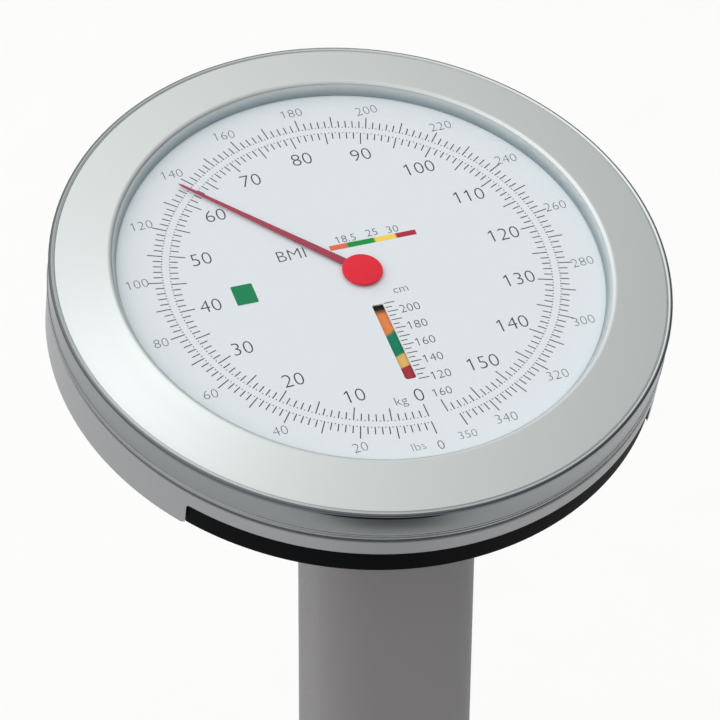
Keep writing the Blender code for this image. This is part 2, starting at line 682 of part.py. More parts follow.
def build_arbor_bridge(head, finishes):
    """A strap across the arbor's lower end, on two feet under the carrier plate."""
    half = BRIDGE_WIDTH / 2
    outline = [
        (-BRIDGE_REACH, CARRIER_BOTTOM - GAP),
        (-BRIDGE_REACH, -BRIDGE_DEPTH - BRIDGE_THICKNESS),
        (BRIDGE_REACH, -BRIDGE_DEPTH - BRIDGE_THICKNESS),
        (BRIDGE_REACH, CARRIER_BOTTOM - GAP),
        (BRIDGE_REACH - 2 * BRIDGE_THICKNESS, CARRIER_BOTTOM - GAP),
        (BRIDGE_REACH - 2 * BRIDGE_THICKNESS, -BRIDGE_DEPTH),
        (-BRIDGE_REACH + 2 * BRIDGE_THICKNESS, -BRIDGE_DEPTH),
        (-BRIDGE_REACH + 2 * BRIDGE_THICKNESS, CARRIER_BOTTOM - GAP),
    ]
    made = extruded(outline, -half, half)
    for point in made.verts:
        point.co = (point.co.x, point.co.z, point.co.y)
    bridge = place_mesh("arbor_bridge", made, head, finishes["zinc"])
    hole_bottom = -BRIDGE_DEPTH - BRIDGE_THICKNESS - OVERRUN
    hole = drum(ARBOR_RADIUS + BEARING_GAP, hole_bottom, -BRIDGE_DEPTH + OVERRUN, SMALL_STEPS)
    helper(bridge, "hole", hole)


def build_rack_guide(head, finishes):
    """A channel under the carrier plate that keeps the rack against the pinion."""
    back = RACK_FACE + RACK_BACK + GAP
    low = RACK_TOP - RACK_WIDTH - GAP - GUIDE_WALL
    front = GUIDE_PLACE
    channel = block(
        (RACK_FACE + GUIDE_WALL, front, low),
        (back + GUIDE_WALL, front + GUIDE_LENGTH, CARRIER_BOTTOM - GAP),
    )
    guide = place_mesh("rack_guide", channel, head, finishes["brass"])
    path = block(
        (RACK_FACE - OVERRUN, front - OVERRUN, RACK_TOP - RACK_WIDTH - GAP),
        (back, front + GUIDE_LENGTH + OVERRUN, RACK_TOP + GAP),
    )
    helper(guide, "path", path)


def housing_profile():
    joggle = -BEZEL_FOOT_DEPTH - GAP
    upper_outer = HOUSING_INNER_RADIUS + HOUSING_SHEET
    lower_outer = HEAD_RADIUS - GAP
    return [
        (upper_outer, HOUSING_TOP),
        (upper_outer, joggle),
        (lower_outer, joggle - GAP),
        (lower_outer, -HOUSING_DEPTH),
        (lower_outer - HOUSING_SHEET, -HOUSING_DEPTH),
        (lower_outer - HOUSING_SHEET, joggle - HOUSING_SHEET),
        (HOUSING_INNER_RADIUS, joggle - HOUSING_SHEET),
        (HOUSING_INNER_RADIUS, HOUSING_TOP),
    ]


def sector(half_angle, inner, outer, bottom, top, steps=10):
    """A slice of a ring about the dial's front."""
    angles = [-pi / 2 - half_angle + 2 * half_angle * step / steps for step in range(steps + 1)]
    outline = [dial_point(outer, angle) for angle in angles]
    outline += [dial_point(inner, angle) for angle in reversed(angles)]
    return extruded(outline, bottom, top)


def build_housing(head, finishes):
    housing = place_mesh("housing_ring", turned(housing_profile()), head, finishes["housing"])
    cutout = sector(
        CUTOUT_HALF_ANGLE,
        HEAD_RADIUS - 3 * COVER_WALL - OVERRUN,
        HEAD_RADIUS + OVERRUN,
        -HOUSING_DEPTH - OVERRUN,
        -CUTOUT_DEPTH,
    )
    helper(housing, "cutout", cutout)
    tab_outer = HOUSING_INNER_RADIUS + TAB_SINK
    tab_top = CARRIER_BOTTOM - GAP
    for number, angle in enumerate(CORNER_ANGLES):
        outline = quad_along(radians(angle), tab_outer - TAB_LENGTH, tab_outer, TAB_WIDTH)
        tab = extruded(outline, tab_top - TAB_THICKNESS, tab_top)
        helper(housing, f"tab_{number}", tab, "UNION")


def build_rear_cover(head, finishes):
    """A shallow black pan inside the band. Its front lip fills the band's cut-out."""
    outer = HEAD_RADIUS - 2 * GAP - HOUSING_SHEET
    lip = HEAD_RADIUS - LIP_STEP
    profile = [
        (0, -HOUSING_DEPTH),
        (outer - LIP_CORNER / 2, -HOUSING_DEPTH),
        (outer, -HOUSING_DEPTH + LIP_CORNER / 2),
        (outer, -COVER_WALL_TOP),
        (outer - COVER_WALL, -COVER_WALL_TOP),
        (outer - COVER_WALL, COVER_FLOOR_TOP),
        (0, COVER_FLOOR_TOP),
    ]
    cover = place_mesh("rear_cover", turned(profile), head, finishes["black"])
    lip_angle = asin(LIP_GAP / HEAD_RADIUS)
    lip_profile = [
        (outer - COVER_WALL / 2, -HOUSING_DEPTH + LIP_CORNER),
        (lip - LIP_CORNER, -HOUSING_DEPTH + GAP / 2),
        (lip - LIP_CORNER / 3, -HOUSING_DEPTH + LIP_CORNER / 3),
        (lip, -HOUSING_DEPTH + LIP_CORNER),
        (lip, -CUTOUT_DEPTH - GAP),
        (outer - COVER_WALL / 2, -CUTOUT_DEPTH - GAP),
    ]
    made = bmesh.new()
    half = CUTOUT_HALF_ANGLE - lip_angle
    start = -pi / 2 - half
    points = [made.verts.new((*dial_point(radius, start), height)) for radius, height in lip_profile]
    face = made.faces.new(points)
    lip_steps = 20
    bmesh.ops.spin(
        made,
        geom=[face],
        cent=(0, 0, 0),
        axis=(0, 0, 1),
        angle=2 * half,
        steps=lip_steps,
    )
    helper(cover, "lip", made, "UNION")
    bore_width = COLUMN_WIDTH - 2 * COLUMN_WALL
    bore_depth = COLUMN_DEPTH - 2 * COLUMN_WALL
    opening = extruded(
        oval_outline(bore_width + 2 * GAP, bore_depth + COVER_OPENING_SPARE),
        DIAL_CENTRE_HEIGHT - 2 * HOUSING_DEPTH - COLUMN_DEPTH,
        DIAL_CENTRE_HEIGHT,
    )
    tool = place_mesh("rear_cover_opening", opening, bpy.data.objects["column_axis"], None)
    boolean(cover, tool)
    x, y = dial_point(KNOB_FROM_CENTRE, KNOB_ANGLE)
    hole = drum(KNOB_SHAFT_RADIUS + GAP, -HOUSING_DEPTH - OVERRUN, COVER_FLOOR_TOP + OVERRUN)
    helper(cover, "knob_hole", hole, place=(x, y, 0))


def build_zero_knob(head, finishes):
    """A knurled knob under the head, on a short shaft with a collar inside the cover."""
    x, y = dial_point(KNOB_FROM_CENTRE, KNOB_ANGLE)
    outline = []
    for step in range(2 * KNOB_RIBS):
        radius = KNOB_RADIUS - (step % 2) * KNOB_RIB_DEPTH
        outline.append(dial_point(radius, pi * step / KNOB_RIBS))
    top = -HOUSING_DEPTH - GAP
    grip = extruded(outline, top - KNOB_HEIGHT, top)
    knob = place_mesh("zero_knob", grip, head, finishes["black"], (x, y, 0))
    shaft_bottom = top - KNOB_HEIGHT / 2
    collar_bottom = COVER_FLOOR_TOP + GAP
    shaft = turned(
        [
            (0, shaft_bottom),
            (KNOB_SHAFT_RADIUS, shaft_bottom),
            (KNOB_SHAFT_RADIUS, collar_bottom),
            (KNOB_COLLAR_RADIUS, collar_bottom),
            (KNOB_COLLAR_RADIUS, collar_bottom + KNOB_COLLAR),
            (0, collar_bottom + KNOB_COLLAR),
        ],
        ROUND_STEPS,
    )
    helper(knob, "shaft", shaft, "UNION", place=(x, y, 0))


def build_pointer(head, finishes):
    """The pointer, disc, arbor and pinion turn together about the dial's normal."""
    angle = POINTER_REST_ANGLE
    hub = drum(POINTER_HUB_RADIUS, POINTER_LIFT, POINTER_LIFT + POINTER_HUB_THICKNESS, FINE_STEPS)
    pointer = place_mesh("pointer", hub, head, finishes["red"])
    half = POINTER_WIDTH / 2
    tip = POINTER_TIP_WIDTH / 2
    shoulder = POINTER_LENGTH - POINTER_WIDTH
    arm = [(0, -half), (shoulder, -tip), (POINTER_LENGTH, 0), (shoulder, tip), (0, half)]
    arm_bottom = POINTER_LIFT + POINTER_THICKNESS / 2
    plate = extruded(arm, arm_bottom, arm_bottom + POINTER_THICKNESS)
    helper(pointer, "arm", plate, "UNION", turn=(0, 0, angle))
    arbor = drum(ARBOR_RADIUS, -BRIDGE_DEPTH - BRIDGE_THICKNESS - ARBOR_TIP, POINTER_LIFT - GAP, SMALL_STEPS)
    place_mesh("pointer_arbor", arbor, head, finishes["zinc"])
    disc = ring(ARBOR_RADIUS + GAP, DISC_RADIUS, -DISC_DEPTH - DISC_THICKNESS, -DISC_DEPTH)
    place_mesh("bmi_disc", disc, head, finishes["disc"])
    bottom = -PINION_TOP_DEPTH - PINION_WIDTH
    teeth = extruded(pinion_outline(), bottom, -PINION_TOP_DEPTH)
    pinion = place_mesh("pinion", teeth, head, finishes["brass"])
    bore_top = OVERRUN - PINION_TOP_DEPTH
    helper(pinion, "bore", drum(ARBOR_RADIUS + THREAD_GAP, bottom - OVERRUN, bore_top, SMALL_STEPS))


def pinion_outline():
    """Thin straight-sided teeth. One tooth points at the rack at rest."""
    root = PITCH_RADIUS - TOOTH_ROOT_SHARE * GEAR_MODULE
    tip = PITCH_RADIUS + TOOTH_CROWN_SHARE * GEAR_MODULE
    half_root = (TOOTH_PITCH / 2 - TOOTH_THINNING) / 2 / PITCH_RADIUS * TOOTH_ROOT_SHARE
    half_tip = half_root * TOOTH_TIP_SHARE
    points = []
    for tooth in range(PINION_TEETH):
        middle = 2 * pi * tooth / PINION_TEETH
        points.append(dial_point(root, middle - half_root))
        points.append(dial_point(tip, middle - half_tip))
        points.append(dial_point(tip, middle + half_tip))
        points.append(dial_point(root, middle + half_root))
    return points


def rack_outline():
    """Teeth face the pinion. A space lies on the line of centres at rest."""
    behind = REST_TURN_SHARE * RACK_TRAVEL
    ahead = RACK_TRAVEL - behind
    spaces_front = int(behind / TOOTH_PITCH) + 2
    spaces_back = int(ahead / TOOTH_PITCH) + 2
    crown = PITCH_RADIUS - TOOTH_CROWN_SHARE * GEAR_MODULE
    half_root = (TOOTH_PITCH / 2 - TOOTH_THINNING) / 2 * RACK_ROOT_SHARE
    half_tip = half_root * TOOTH_TIP_SHARE * RACK_TIP_SHARE
    points = []
    for number in range(-spaces_front, spaces_back):
        middle = (number + 1 / 2) * TOOTH_PITCH
        points.append((RACK_FACE, middle - half_root))
        points.append((crown, middle - half_tip))
        points.append((crown, middle + half_tip))
        points.append((RACK_FACE, middle + half_root))
    back_end = spaces_back * TOOTH_PITCH + RACK_END_SPARE
    points.append((RACK_FACE, back_end))
    points.append((RACK_FACE + RACK_BACK, back_end))
    points.append((RACK_FACE + RACK_BACK, FORK_PLACE - FORK_LENGTH / 2))
    points.append((RACK_FACE, FORK_PLACE - FORK_LENGTH / 2))
    return points


def build_rack(head, finishes):
    toothed = extruded(rack_outline(), RACK_TOP - RACK_WIDTH, RACK_TOP)
    rack = place_mesh("rack", toothed, head, finishes["brass"])
    half = FORK_LENGTH / 2
    fork_bottom = RACK_MIDDLE - FORK_DEPTH / 2 - FORK_BRIDGE
    fork = block(
        (RACK_FACE, FORK_PLACE - half, fork_bottom),
        (RACK_FACE + RACK_BACK, FORK_PLACE + half, RACK_TOP - RACK_WIDTH / 4),
    )
    helper(rack, "fork", fork, "UNION")
    slot_half = CRANK_TIP_PIN_RADIUS + FORK_CLEARANCE
    slot = block(
        (RACK_FACE - OVERRUN, FORK_PLACE - slot_half, fork_bottom - OVERRUN),
        (RACK_FACE + RACK_BACK + OVERRUN, FORK_PLACE + slot_half, RACK_MIDDLE + CRANK_TIP_PIN_RADIUS + GAP),
    )
    helper(rack, "slot", slot)


def tapered_arm(length, root_width, tip_radius, steps=6):
    """A lever arm along +Z in (y, z), with a round tip."""
    half = root_width / 2
    points = [(-half, 0), (half, 0)]
    for step in range(steps + 1):
        angle = pi * step / steps
        points.append((tip_radius * cos(angle), length + tip_radius * sin(angle)))
    return points


def build_crank(axis, finishes):
    """The bell crank turns about X. Its parts are drawn at half load and turned back to rest."""
    place = (0, CRANK_PIVOT_Y, CRANK_PIVOT_Z)
    rest = (CRANK_REST_ANGLE, 0, 0)
    half = CRANK_THICKNESS / 2
    crank = place_mesh(
        "bell_crank",
        drum_across(CRANK_HUB_RADIUS, -CRANK_HUB_LENGTH / 2, CRANK_HUB_LENGTH / 2),
        axis,
        finishes["zinc"],
        place,
        rest,
    )
    output = extruded_across(tapered_arm(CRANK_OUTPUT, CRANK_ARM_WIDTH, CRANK_TIP_RADIUS), -half, half)
    helper(crank, "output_arm", output, "UNION", place, (HEAD_TILT + CRANK_REST_ANGLE, 0, 0))
    tip_pin = drum_across(
        CRANK_TIP_PIN_RADIUS,
        -half,
        RACK_FACE + RACK_BACK + GAP,
        SMALL_STEPS,
        0.0,
        CRANK_OUTPUT,
    )
    helper(crank, "tip_pin", tip_pin, "UNION", place, (HEAD_TILT + CRANK_REST_ANGLE, 0, 0))
    arm_end = CRANK_INPUT + CLEVIS_PIN_RADIUS
    input_outline = tapered_arm(arm_end, CRANK_ARM_WIDTH + CLEVIS_PIN_RADIUS, CRANK_ARM_WIDTH / 2)
    input_arm = extruded_across(input_outline, -half, half)
    input_turn = (pi / 2 + CRANK_REST_ANGLE, 0, 0)
    helper(crank, "input_arm", input_arm, "UNION", place, input_turn)
    bore = drum_across(CRANK_PIVOT_RADIUS + BEARING_GAP, -CRANK_HUB_LENGTH, CRANK_HUB_LENGTH)
    helper(crank, "bore", bore, "DIFFERENCE", place, rest)
    slot_half = CLEVIS_PIN_RADIUS + GAP
    slot = block(
        (-OVERRUN - half, -slot_half, CRANK_INPUT - CLEVIS_PIN_RADIUS - CLEVIS_SLOT_SPARE),
        (OVERRUN + half, slot_half, CRANK_INPUT + CLEVIS_PIN_RADIUS + CLEVIS_SLOT_SPARE),
    )
    helper(crank, "slot", slot, "DIFFERENCE", place, input_turn)
    pin_end = CRANK_HUB_LENGTH / 2 + GAP + EAR_THICKNESS + CRANK_PIN_SPARE
    pin = drum_across(CRANK_PIVOT_RADIUS, -pin_end, pin_end)
    place_mesh("crank_pin", pin, axis, finishes["zinc"], place)


def crank_input_height():
    """Height of the draw rod's pin at rest, on the crank's input arm."""
    return CRANK_PIVOT_Z - CRANK_INPUT * sin(CRANK_REST_ANGLE)


def build_draw_rod(axis, finishes):
    pin_z = crank_input_height()
    clevis_top = pin_z + CLEVIS_LENGTH / 3
    clevis_bottom = clevis_top - CLEVIS_LENGTH
    nut_top = LONG_LEVER_BOTTOM - GAP
    rod_bottom = nut_top - ROD_NUT_HEIGHT - ROD_TIP
    rod = drum(ROD_RADIUS, rod_bottom, clevis_bottom + CLEVIS_CHEEK, SMALL_STEPS)
    place = (0, ROD_FROM_AXIS, 0)
    rod = place_mesh("draw_rod", rod, axis, finishes["zinc"], place)
    half = CRANK_THICKNESS / 2 + GAP
    depth = CLEVIS_DEPTH / 2
    outline = [(-half - CLEVIS_CHEEK, clevis_bottom), (half + CLEVIS_CHEEK, clevis_bottom)]
    outline += [(half + CLEVIS_CHEEK, clevis_top), (half, clevis_top)]
    outline += [(half, clevis_bottom + CLEVIS_CHEEK), (-half, clevis_bottom + CLEVIS_CHEEK)]
    outline += [(-half, clevis_top), (-half - CLEVIS_CHEEK, clevis_top)]
    clevis = extruded(outline, -depth, depth)
    for point in clevis.verts:
        point.co = (point.co.x, point.co.z, point.co.y)
    helper(rod, "clevis", clevis, "UNION", place)
    pin = drum_across(CLEVIS_PIN_RADIUS, -half - CLEVIS_CHEEK, half + CLEVIS_CHEEK, SMALL_STEPS, 0.0, pin_z)
    helper(rod, "clevis_pin", pin, "UNION", place)
    nut = drum(ROD_NUT_RADIUS, nut_top - ROD_NUT_HEIGHT, nut_top, HEX_STEPS)
    nut = place_mesh("rod_nut", nut, axis, finishes["zinc"], place)
    thread = drum(ROD_RADIUS + THREAD_GAP, rod_bottom, nut_top + OVERRUN, SMALL_STEPS)
    helper(nut, "thread", thread, "DIFFERENCE", place)


def build_spring(axis, finishes):
    """The measuring spring hangs from the bracket round the draw rod and pulls it up."""
    outline = oval_outline(PLUG_WIDTH, PLUG_DEPTH, 2 * ROUND_STEPS)
    anchor = place_mesh("spring_anchor", extruded(outline, ANCHOR_BOTTOM, ANCHOR_TOP), axis, finishes["zinc"])
    place = (0, ROD_FROM_AXIS, 0)
    plug_radius = SPRING_RADIUS * cos(pi / SPRING_STEPS) - SPRING_WIRE / 2 - 2 * GAP
    plug = drum(plug_radius, ANCHOR_BOTTOM - SPRING_PLUG_HEIGHT, ANCHOR_BOTTOM + SPRING_WIRE)
    helper(anchor, "plug", plug, "UNION", place)
    hole = drum(ROD_RADIUS + 2 * GAP, ANCHOR_BOTTOM - SPRING_LENGTH, ANCHOR_TOP + OVERRUN, SMALL_STEPS)
    helper(anchor, "hole", hole, "DIFFERENCE", place)
    plate_top = SPRING_BOTTOM - SPRING_WIRE / 2 - GAP
    lower = turned(
        [
            (ROD_RADIUS + GAP, plate_top - SPRING_PLATE),
            (SPRING_RADIUS + SPRING_WIRE, plate_top - SPRING_PLATE),
            (SPRING_RADIUS + SPRING_WIRE, plate_top),
            (plug_radius, plate_top),
            (plug_radius, plate_top + SPRING_PLUG_HEIGHT),
            (ROD_RADIUS + GAP, plate_top + SPRING_PLUG_HEIGHT),
        ],
        ROUND_STEPS,
    )
    place_mesh("spring_plug", lower, axis, finishes["zinc"], place)
    curve = bpy.data.curves.new("load_spring", "CURVE")
    curve.dimensions = "3D"
    curve.bevel_depth = SPRING_WIRE / 2
    curve.bevel_resolution = 1
    curve.use_fill_caps = True
    path = curve.splines.new("POLY")
    count = SPRING_TURNS * SPRING_STEPS + 1
    path.points.add(count - 1)
    for number, point in enumerate(path.points):
        angle = 2 * pi * number / SPRING_STEPS
        height = SPRING_BOTTOM + SPRING_LENGTH * number / (count - 1)
        point.co = (SPRING_RADIUS * cos(angle), SPRING_RADIUS * sin(angle), height, 1.0)
    curve.materials.append(finishes["zinc"])
    spring = bpy.data.objects.new("load_spring", curve)
    spring.parent = axis
    spring.location = place
    bpy.context.scene.collection.objects.link(spring)


def build_bracket(head, axis, finishes):
    """A casting: a tilted plate in the head and a plug in the column, with ears for the crank's pin."""
    plate = drum(BRACKET_PLATE_RADIUS, PLATE_BOTTOM, PLATE_TOP, COLUMN_STEPS)
    bracket = place_mesh("head_bracket", plate, head, finishes["cast"])
    plug_top = DIAL_CENTRE_HEIGHT - BRACKET_PLATE_RADIUS / 4
    plug = place_mesh(
        "head_bracket_plug", extruded(oval_outline(PLUG_WIDTH, PLUG_DEPTH), PLUG_BOTTOM, plug_top), axis, None
    )
    half_plate = (PLATE_TOP - PLATE_BOTTOM) / 2
    trim_height = 3 * HEAD_RADIUS
    trim = drum(2 * HEAD_RADIUS, PLATE_TOP - half_plate, PLATE_TOP - half_plate + trim_height, SMALL_STEPS)
    boolean(plug, place_mesh("head_bracket_trim", trim, head, None))
    boolean(bracket, plug, "UNION")
    inner_width = PLUG_WIDTH - 2 * BRACKET_PLUG_WALL
    inner_depth = PLUG_DEPTH - 2 * BRACKET_PLUG_WALL
    hollow = extruded(oval_outline(inner_width, inner_depth), PLUG_BOTTOM - OVERRUN, DIAL_CENTRE_HEIGHT)
    boolean(bracket, place_mesh("head_bracket_hollow", hollow, axis, None))
    post = drum(POST_RADIUS, PLATE_TOP - OVERRUN, CARRIER_BOTTOM - GAP, SMALL_STEPS)
    corners = [(*dial_point(POST_CIRCLE, radians(angle)), 0) for angle in CORNER_ANGLES]
    helper(bracket, "posts", repeated(post, corners), "UNION")
    ear_inner = CRANK_HUB_LENGTH / 2 + GAP
    ear_back = PLUG_DEPTH / 2 - BRACKET_PLUG_WALL / 2
    for side in (-1, 1):
        left, right = sorted((side * ear_inner, side * (ear_inner + EAR_THICKNESS)))
        ear = block(
            (left, CRANK_PIVOT_Y - EAR_HEIGHT / 2, CRANK_PIVOT_Z - EAR_HEIGHT / 2),
            (right, ear_back, CRANK_PIVOT_Z + EAR_HEIGHT / 2),
        )
        tool = place_mesh(f"head_bracket_ear_{'left' if side < 0 else 'right'}", ear, axis, None)
        boolean(bracket, tool, "UNION")
    pin_hole = drum_across(CRANK_PIVOT_RADIUS + BEARING_GAP, -2 * CRANK_HUB_LENGTH, 2 * CRANK_HUB_LENGTH)
    tool = place_mesh("head_bracket_pin_hole", pin_hole, axis, None, (0, CRANK_PIVOT_Y, CRANK_PIVOT_Z))
    boolean(bracket, tool)


def build_column(head, axis, finishes):
    top = DIAL_CENTRE_HEIGHT
    outer_wall = extruded(oval_outline(COLUMN_WIDTH, COLUMN_DEPTH), COLUMN_BOTTOM, top)
    column = place_mesh("column_tube", outer_wall, axis, finishes["column"])
    bore_outline = oval_outline(COLUMN_WIDTH - 2 * COLUMN_WALL, COLUMN_DEPTH - 2 * COLUMN_WALL)
    helper(column, "bore", extruded(bore_outline, COLUMN_BOTTOM - OVERRUN, top + OVERRUN))
    trim = drum(2 * HEAD_RADIUS, -HOUSING_DEPTH - GAP, 3 * HEAD_RADIUS, SMALL_STEPS)
    boolean(column, place_mesh("column_tube_trim", trim, head, None))
    screw_inner = COLUMN_DEPTH / 2 - COLUMN_WALL - BRACKET_PLUG_WALL / 2
    screw_outer = COLUMN_DEPTH / 2 + GAP
    profile = [
        (0, screw_inner),
        (HEAD_SCREW_RADIUS, screw_inner),
        (HEAD_SCREW_RADIUS, screw_outer),
        (HEAD_SCREW_HEAD_RADIUS, screw_outer),
        (HEAD_SCREW_HEAD_RADIUS, screw_outer + HEAD_SCREW_HEAD),
        (0, screw_outer + HEAD_SCREW_HEAD),
    ]
    hole = drum(HEAD_SCREW_RADIUS + GAP, screw_inner - GAP, screw_outer + OVERRUN, SMALL_STEPS)
    upper = HEAD_BOTTOM_AT_COLUMN - COLUMN_DEPTH * tan(HEAD_TILT) / 2
    places = [(0, 0, upper - share * BRACKET_PLUG_LENGTH) for share in HEAD_SCREW_PLACES_SHARE]
    screw = turned(profile, SMALL_STEPS)
    for shape in (screw, hole):
        bmesh.ops.rotate(shape, verts=shape.verts, matrix=Matrix.Rotation(-pi / 2, 3, "X"))
    copies(("head_screw_upper", "head_screw_lower"), screw, axis, finishes["zinc"], places)
    tool = place_mesh("head_screw_holes", repeated(hole, places), axis, None)
    boolean(column, tool)
    boolean(bpy.data.objects["head_bracket"], tool)


def build_column_foot(axis, finishes):
    half_width = FLANGE_WIDTH / 2
    half_depth = FLANGE_DEPTH / 2
    outline = rounded_box_outline(-half_width, half_width, -half_depth, half_depth, FLANGE_CORNER)
    flange = place_mesh("column_flange", extruded(outline, FLANGE_BOTTOM, FLANGE_TOP), axis, finishes["cast"])
    socket = extruded(oval_outline(PLUG_WIDTH, PLUG_DEPTH), FLANGE_TOP - GAP, FLANGE_TOP + SOCKET_HEIGHT)
    helper(flange, "socket", socket, "UNION")
    hollow_outline = oval_outline(PLUG_WIDTH - 2 * SOCKET_WALL, PLUG_DEPTH - 2 * SOCKET_WALL)
    hollow = extruded(hollow_outline, FLANGE_BOTTOM - OVERRUN, FLANGE_TOP + SOCKET_HEIGHT + OVERRUN)
    helper(flange, "hollow", hollow)
    bolt_x = half_width - BOLT_INSET
    bolt_y = half_depth - BOLT_INSET
    bolt = turned(
        [
            (0, BASE_TOP - BOLT_HEAD),
            (BOLT_RADIUS, BASE_TOP - BOLT_HEAD),
            (BOLT_RADIUS, FLANGE_TOP + GAP),
            (BOLT_HEAD_RADIUS, FLANGE_TOP + GAP),
            (BOLT_HEAD_RADIUS, FLANGE_TOP + GAP + BOLT_HEAD),
            (0, FLANGE_TOP + GAP + BOLT_HEAD),
        ],
        SMALL_STEPS,
    )
    hole = drum(BOLT_RADIUS + GAP, BASE_TOP - 2 * BOLT_HEAD, FLANGE_TOP + OVERRUN, SMALL_STEPS)
    corners = [(x, y, 0) for x in (-bolt_x, bolt_x) for y in (-bolt_y, bolt_y)]
    names = [f"flange_bolt_{number}" for number in range(len(corners))]
    copies(names, bolt, axis, finishes["zinc"], corners)
    tool = place_mesh("flange_bolt_holes", repeated(hole, corners), axis, None)
    boolean(flange, tool)
    boolean(bpy.data.objects["base_frame"], tool)
    build_shroud(axis, finishes)


def shroud_outline(share, wall):
    """One level of the shroud, from its foot (share 0) to its collar round the column (share 1)."""
    spare = SHROUD_TOP_SPARE
    half = SHROUD_WIDTH / 2 + (COLUMN_WIDTH / 2 + spare - SHROUD_WIDTH / 2) * share - wall
    front = SHROUD_FRONT + (COLUMN_DEPTH / 2 + spare - SHROUD_FRONT) * share - wall
    rear = SHROUD_REAR + (COLUMN_DEPTH / 2 + spare - SHROUD_REAR) * share - wall
    corner = SHROUD_CORNER - wall
    return rounded_box_outline(-half, half, -front, rear, corner)


def build_shroud(axis, finishes):
    """A moulded skirt that hides the flange, lofted from a wide foot to the column."""
    bottom = DECK_TOP + GAP
    rings = []
    for wall, steps in ((0.0, SHROUD_LEVEL_SHARES), (SHROUD_WALL, reversed(SHROUD_LEVEL_SHARES))):
        for share, rise in steps:
            rings.append([(x, y, bottom + rise * SHROUD_HEIGHT) for x, y in shroud_outline(share, wall)])
    made = looped(rings)
    place_mesh("column_cover", made, axis, finishes["shroud"])


def build_base(axis, finishes):
    """A pressed pan with an upstanding wall, and a deck at the back that carries the column."""
    half = BASE_WIDTH / 2
    outer = rounded_box_outline(-half, half, -BASE_FRONT, BASE_REAR, BASE_CORNER)
    base = place_mesh("base_frame", extruded(outer, BASE_BOTTOM, DECK_TOP), axis, finishes["base"])
    wall = BASE_WALL
    side = half - wall
    front = -BASE_FRONT + wall
    corner = BASE_CORNER - wall
    inner = rounded_box_outline(-side, side, front, BASE_REAR - wall, corner)
    helper(base, "hollow", extruded(inner, FLOOR_TOP, BASE_TOP))
    open_top = block((-BASE_WIDTH, -2 * BASE_FRONT, BASE_TOP), (BASE_WIDTH, -DECK_FRONT, DECK_TOP + OVERRUN))
    helper(base, "open_top", open_top)
    well = rounded_box_outline(-side, side, front, -DECK_FRONT, corner)
    helper(base, "well", extruded(well, BASE_TOP - OVERRUN, DECK_TOP))
    hole = rounded_box_outline(
        -DECK_HOLE_WIDTH / 2,
        DECK_HOLE_WIDTH / 2,
        ROD_FROM_AXIS - DECK_HOLE_DEPTH / 2,
        ROD_FROM_AXIS + DECK_HOLE_DEPTH / 2,
        FLANGE_CORNER,
    )
    helper(base, "rod_hole", extruded(hole, BASE_TOP - OVERRUN, DECK_TOP + OVERRUN))
    build_feet(axis, finishes)
    build_wheels(axis, finishes)


def build_feet(axis, finishes):
    foot = turned(
        [
            (0, 0),
            (FOOT_RADIUS - FOOT_TAPER, 0),
            (FOOT_RADIUS, FOOT_TAPER),
            (FOOT_RADIUS, FOOT_HEIGHT - GAP),
            (0, FOOT_HEIGHT - GAP),
        ],
        ROUND_STEPS,
    )
    x = BASE_WIDTH / 2 - FOOT_INSET
    places = {
        "front_left": (-x, -BASE_FRONT + FOOT_INSET, 0),
        "front_right": (x, -BASE_FRONT + FOOT_INSET, 0),
        "rear_left": (-x, BASE_REAR - FOOT_INSET, 0),
        "rear_right": (x, BASE_REAR - FOOT_INSET, 0),
    }
    names = [f"foot_{name}" for name in places]
    copies(names, foot, axis, finishes["rubber"], list(places.values()))


